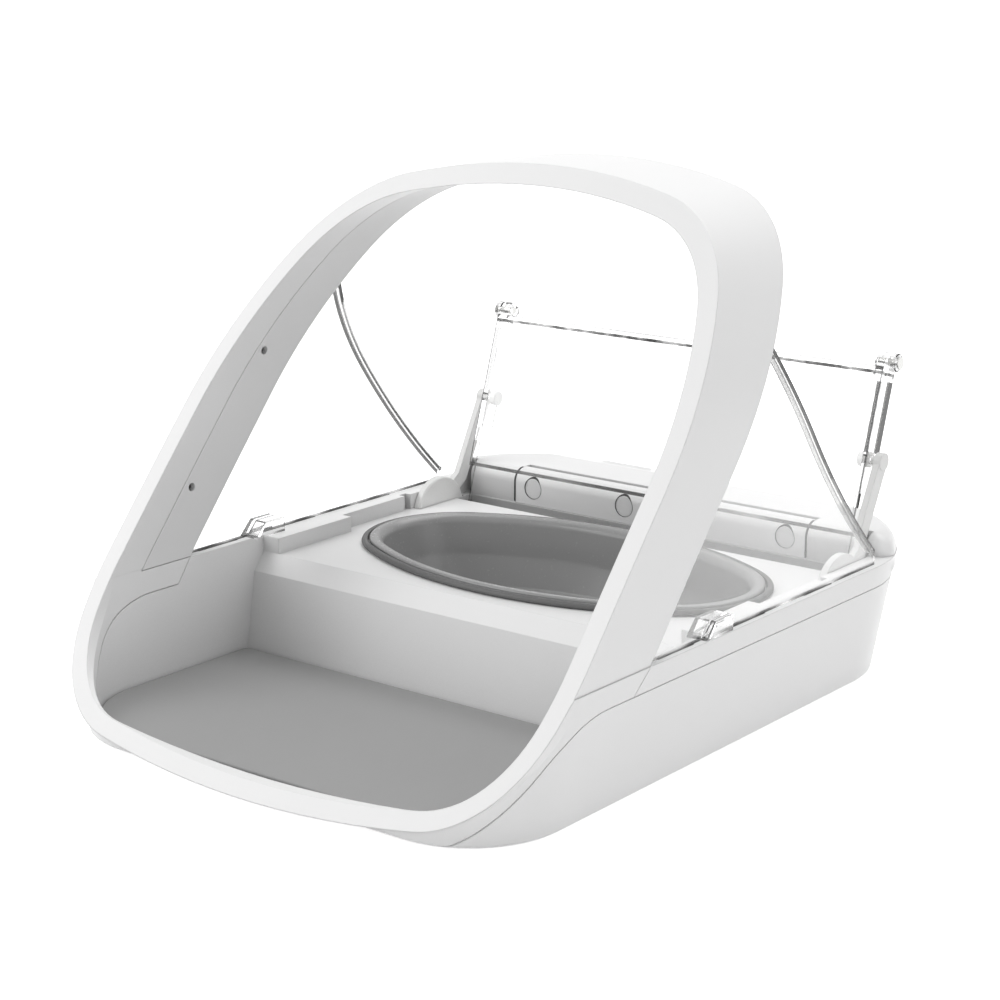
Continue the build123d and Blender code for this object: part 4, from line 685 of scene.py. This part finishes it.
class FEEDER_OT_bowl(bpy.types.Operator):
    """Makes the oval food bowl and its soft ring"""

    bl_idname = "feeder.bowl"
    bl_label = "Bowl"

    def execute(self, context):
        sizes, colours = context.scene.feeder_sizes, context.scene.feeder_colours
        path = oval_path(BOWL_HALF, BOWL_FRONT, BOWL_BACK, BOWL_END_RADIUS)
        rows = round_off(self.wall_profile(sizes.bowl_wall / MM), sizes.bowl_lip_round / MM)
        made = surface("bowl", carried(path, self.with_middle(rows)), caps=True)
        # Polypropylene, moulded in a polished tool: mid grey, smooth, with soft broad highlights.
        plastic = moulded(
            "polished_moulded_polypropylene",
            tuple(colours.bowl),
            0.24,
            1.49,
            grain=(1.2, 0.003),
            edge_mm=0.2,
            cloud=(0.95, 70.0),
        )
        dress(made, plastic, "bowl", "grey_bowl", "food_bowl")
        seal = surface("bowl_ring", carried(path, self.ring_profile()), loop_rows=True)
        # Thermoplastic rubber: darker than the bowl, matt, with a soft sheen.
        rubber = moulded(
            "soft_thermoplastic_rubber",
            tuple(colours.seal),
            0.5,
            1.5,
            grain=(0.6, 0.01),
            edge_mm=0.1,
            cloud=(0.93, 45.0),
        )
        dress(seal, rubber, "bowl", "grey_seal", "bowl_seal")
        return {"FINISHED"}

    def wall_profile(self, wall):
        """(inset, shrink, z) rows from under the floor, up outside, over the lip with its groove and down
        inside. Both walls slope by BOWL_SLOPE, and the inner one stands the wall's thickness further in."""
        foot = BOWL_LIP + (PLATFORM_Z - BOWL_FLOOR_Z) * BOWL_SLOPE
        floor = BOWL_LIP + wall + (BOWL_RIM_Z - BOWL_FLOOR_Z - wall) * BOWL_SLOPE
        groove = RING_WIDTH + RING_GROOVE
        return [
            (foot + 4, 1.0, BOWL_FLOOR_Z + 1.0),
            (foot + 1, 1.0, BOWL_FLOOR_Z),
            (foot, 1.0, BOWL_FLOOR_Z + 0.6),
            (BOWL_LIP, 1.0, PLATFORM_Z),
            (BOWL_LIP - 0.2, 1.0, PLATFORM_Z + 0.3),
            (groove, 1.0, PLATFORM_Z + 0.3),
            (groove, 1.0, BOWL_RIM_Z),
            (BOWL_LIP, 1.0, BOWL_RIM_Z - 0.1),
            (BOWL_LIP + wall, 1.0, BOWL_RIM_Z - 2.2),
            (floor - 4.5, 1.0, BOWL_FLOOR_Z + wall + 13.0),
            (floor, 1.0, BOWL_FLOOR_Z + wall),
            (floor + 14, 1.0, BOWL_FLOOR_Z + wall),
        ]

    def with_middle(self, rows):
        """The profile with its flat parts drawn on towards the middle, under and inside the bowl, where two
        low ridges run round the floor."""
        outside = [(rows[0, 0], shrink, rows[0, 2]) for shrink in (0.2, 0.5, 0.8)]
        outer_ridge = ((0.93, 0.0), (0.92, 0.6), (0.88, 0.6), (0.87, 0.0))
        inner_ridge = ((0.62, 0.0), (0.61, 0.7), (0.58, 0.7), (0.57, 0.0))
        steps = (*outer_ridge, *inner_ridge, (0.2, 0.0))
        inside = [(rows[-1, 0], shrink, rows[-1, 2] + rise) for shrink, rise in steps]
        return np.concatenate([outside, rows, inside])

    def ring_profile(self):
        """(inset, shrink, z) rows of the soft ring: flat below, upright outside, gently crowned above."""
        return [
            (RING_WIDTH, 1.0, PLATFORM_Z + 0.35),
            (0.35, 1.0, PLATFORM_Z + 0.3),
            (0.0, 1.0, PLATFORM_Z + 0.8),
            (0.0, 1.0, BOWL_RIM_Z - 1.9),
            (0.35, 1.0, BOWL_RIM_Z - 1.15),
            (1.0, 1.0, BOWL_RIM_Z - 0.7),
            (RING_WIDTH - 0.8, 1.0, BOWL_RIM_Z - 0.65),
            (RING_WIDTH - 0.25, 1.0, BOWL_RIM_Z - 0.85),
            (RING_WIDTH, 1.0, BOWL_RIM_Z - 1.4),
        ]


class FEEDER_OT_mat(bpy.types.Operator):
    """Makes the soft mat on the feeding bay's floor"""

    bl_idname = "feeder.mat"
    bl_label = "Mat"

    def execute(self, context):
        sizes, colours = context.scene.feeder_sizes, context.scene.feeder_colours
        back_x, back_y = MAT_HALF - MAT_BACK_CORNER, MAT_BACK - MAT_BACK_CORNER
        front_x, front_y = MAT_HALF - MAT_FRONT_CORNER, MAT_FRONT + MAT_FRONT_CORNER
        path = corner_path(
            [
                (back_x, back_y, MAT_BACK_CORNER, 0.0),
                (-back_x, back_y, MAT_BACK_CORNER, 90.0),
                (-front_x, front_y, MAT_FRONT_CORNER, 180.0),
                (front_x, front_y, MAT_FRONT_CORNER, 270.0),
            ]
        )
        top = MAT_LOW + MAT_THICK
        corners = [(4, 1, MAT_LOW), (0.3, 1, MAT_LOW), (0, 1, top), (3, 1, top)]
        edge = round_off(corners, sizes.mat_round / MM)
        under, over = [(0, 0.05, MAT_LOW), (0, 0.5, MAT_LOW)], [(0, 0.3, top), (0, 0.05, top)]
        made = surface("mat", carried(path, np.concatenate([under, edge, over])), caps=True)
        # Silicone-like rubber: mid grey, matt and slightly dusty, with a fine even grain.
        rubber = moulded(
            "matt_silicone_rubber",
            tuple(colours.mat),
            0.68,
            1.43,
            grain=(0.5, 0.02),
            edge_mm=0.1,
            cloud=(0.96, 60.0),
        )
        dress(made, rubber, "mat", "grey_mat", "food_mat")
        return {"FINISHED"}


class FEEDER_OT_clear_parts(bpy.types.Operator):
    """Finishes the lid panel, the side shields, the rollers and the status lens"""

    bl_idname = "feeder.clear_parts"
    bl_label = "Clear parts"

    def execute(self, context):
        # Polycarbonate, moulded in a polished tool: water-clear, seen only by its edges and reflections.
        clear, wave = linear("FDFDFD"), (30.0, 0.01)
        # The lid carries painted dark lines along its edges, its flanges and its foot.
        sheet = clear_plastic("clear_polycarbonate_lid", clear, 0.01, 1.585, wave, 5.0, lid_painted_edge_lines)
        finish_nodes(sheet, "lid_panel")
        # The shields carry painted dark lines along their curved flanges and their feet.
        side = clear_plastic("clear_polycarbonate_shield", clear, 0.01, 1.585, wave, 9.0, shield_painted_edge_lines)
        finish_nodes(side, "side_shield_right", "side_shield_left")
        # Cellulose acetate: clear, but a little greyer and less glossy than the sheets.
        wheel = clear_plastic("clear_moulded_acetate", linear("F3F3F3"), 0.05, 1.48, (4.0, 0.01), 40.0)
        finish_nodes(wheel, "lid_roller_right", "lid_roller_left", "status_lens")
        return {"FINISHED"}


class FEEDER_OT_lid_arms(bpy.types.Operator):
    """Finishes the lid's arms, the roller axles, the hub bushes and the worm wheel"""

    bl_idname = "feeder.lid_arms"
    bl_label = "Lid arms"

    def execute(self, context):
        # Acetal: white, dense and waxy, with a slightly glossier face than the housing.
        arm = moulded("waxy_moulded_acetal", linear("E8E8E7"), 0.3, 1.48, grain=(0.4, 0.004), edge_mm=0.5)
        finish_nodes(arm, "lid_arm_right", "lid_arm_left", "hub_bushes", "drive_gear")
        # Stainless steel, centreless ground: bright, with marks round the pin.
        steel = metal("ground_stainless_steel", linear("C6C6C4"), 0.28, 0.5, 0)
        finish_nodes(steel, "roller_axles")
        return {"FINISHED"}


class FEEDER_OT_works(bpy.types.Operator):
    """Finishes the drive, the battery bay, the board and the reader's coil"""

    bl_idname = "feeder.works"
    bl_label = "Inner works"

    def execute(self, context):
        # Free-machining brass, turned: warm yellow with bright flanks.
        finish_nodes(metal("turned_brass", linear("D8B25E"), 0.3, 0.4, 1), "drive_worm")
        # Deep-drawn steel can, zinc plated: cool grey with lengthwise marks.
        can = metal("zinc_plated_steel", linear("BFC3C6"), 0.35, 0.8, 1)
        finish_nodes(can, "drive_motor", "battery_contacts")
        # Spring steel wire, nickel plated: a warm bright grey.
        wire = metal("nickel_plated_wire", linear("CFCBC2"), 0.25, 0.3, 2)
        finish_nodes(wire, "battery_springs_right", "battery_springs_left")
        # Enamelled copper wire, wound side by side: reddish brown with a lacquer gloss.
        finish_nodes(metal("enamelled_copper_wire", linear("B0653A"), 0.38, 0.5, 0), "antenna_coil")
        # Shrink sleeve over a steel can: a plain blue-grey sleeve with bare steel ends.
        cell = sleeved("sleeved_steel_cell", linear("4A5A68"), linear("C4C4C2"), 8.0, 52.0, 0.32)
        finish_nodes(cell, "battery_cells")
        # Glass-epoxy board under a green solder mask.
        board = moulded(
            "green_solder_mask", linear("2F6B43"), 0.32, 1.5, grain=(1.5, 0.01), edge_mm=0.1, cloud=(0.8, 6.0)
        )
        finish_nodes(board, "circuit_board")
        return {"FINISHED"}


class FEEDER_OT_fixings(bpy.types.Operator):
    """Finishes the screws, the feet and the push buttons"""

    bl_idname = "feeder.fixings"
    bl_label = "Fixings and buttons"

    def execute(self, context):
        # Steel screws, black oxide: dark with a dull shine.
        screw = metal("black_oxide_steel", linear("3A3A3A"), 0.42, 0.4, 2)
        finish_nodes(screw, "liner_screws", "housing_screws")
        # Solid rubber feet: dark grey and matt.
        foot = moulded(
            "dark_moulded_rubber",
            linear("4A4A4A"),
            0.7,
            1.52,
            grain=(0.8, 0.02),
            edge_mm=0.4,
            cloud=(0.9, 45.0),
        )
        finish_nodes(foot, "rubber_feet")
        # ABS buttons, polished tool: the housing's white with more gloss.
        white = linear("E6E6E5")
        button = moulded("polished_moulded_abs", white, 0.26, 1.53, grain=(0.4, 0.003), edge_mm=0.3)
        finish_nodes(button, "button_add_pet", "button_training", "button_lid")
        return {"FINISHED"}


class FEEDER_PT_panel(bpy.types.Panel):
    """The feeder's pieces, sizes and colours"""

    bl_idname = "FEEDER_PT_panel"
    bl_label = "Pet Feeder"
    bl_space_type = "VIEW_3D"
    bl_region_type = "UI"
    bl_category = "Pet Feeder"

    def draw(self, context):
        column = self.layout.column()
        for operator in OPERATORS:
            column.operator(operator.bl_idname)
        for group_name in GROUPS:
            group = getattr(context.scene, group_name)
            for name in group.__annotations__:
                column.prop(group, name)


GROUPS = {"feeder_sizes": FeederSizes, "feeder_colours": FeederColours, "feeder_studio": FeederStudio}
OPERATORS = (
    FEEDER_OT_studio,
    FEEDER_OT_housing,
    FEEDER_OT_gap_shadows,
    FEEDER_OT_bowl,
    FEEDER_OT_mat,
    FEEDER_OT_clear_parts,
    FEEDER_OT_lid_arms,
    FEEDER_OT_works,
    FEEDER_OT_fixings,
)
CLASSES = (*GROUPS.values(), *OPERATORS, FEEDER_PT_panel)


def register():
    """Adds the classes and the scene's settings."""
    for made in CLASSES:
        bpy.utils.register_class(made)
    for name, group in GROUPS.items():
        setattr(bpy.types.Scene, name, bpy.props.PointerProperty(type=group))


def unregister():
    """Takes them away again."""
    for name in GROUPS:
        delattr(bpy.types.Scene, name)
    for made in reversed(CLASSES):
        bpy.utils.unregister_class(made)


def main():
    """Builds the dressed feeder."""
    register()
    bpy.ops.feeder.studio()
    bpy.ops.feeder.housing()
    bpy.ops.feeder.cover_gaps()
    bpy.ops.feeder.bowl()
    bpy.ops.feeder.mat()
    bpy.ops.feeder.clear_parts()
    bpy.ops.feeder.lid_arms()
    bpy.ops.feeder.works()
    bpy.ops.feeder.fixings()


if __name__ == "__main__":
    main()
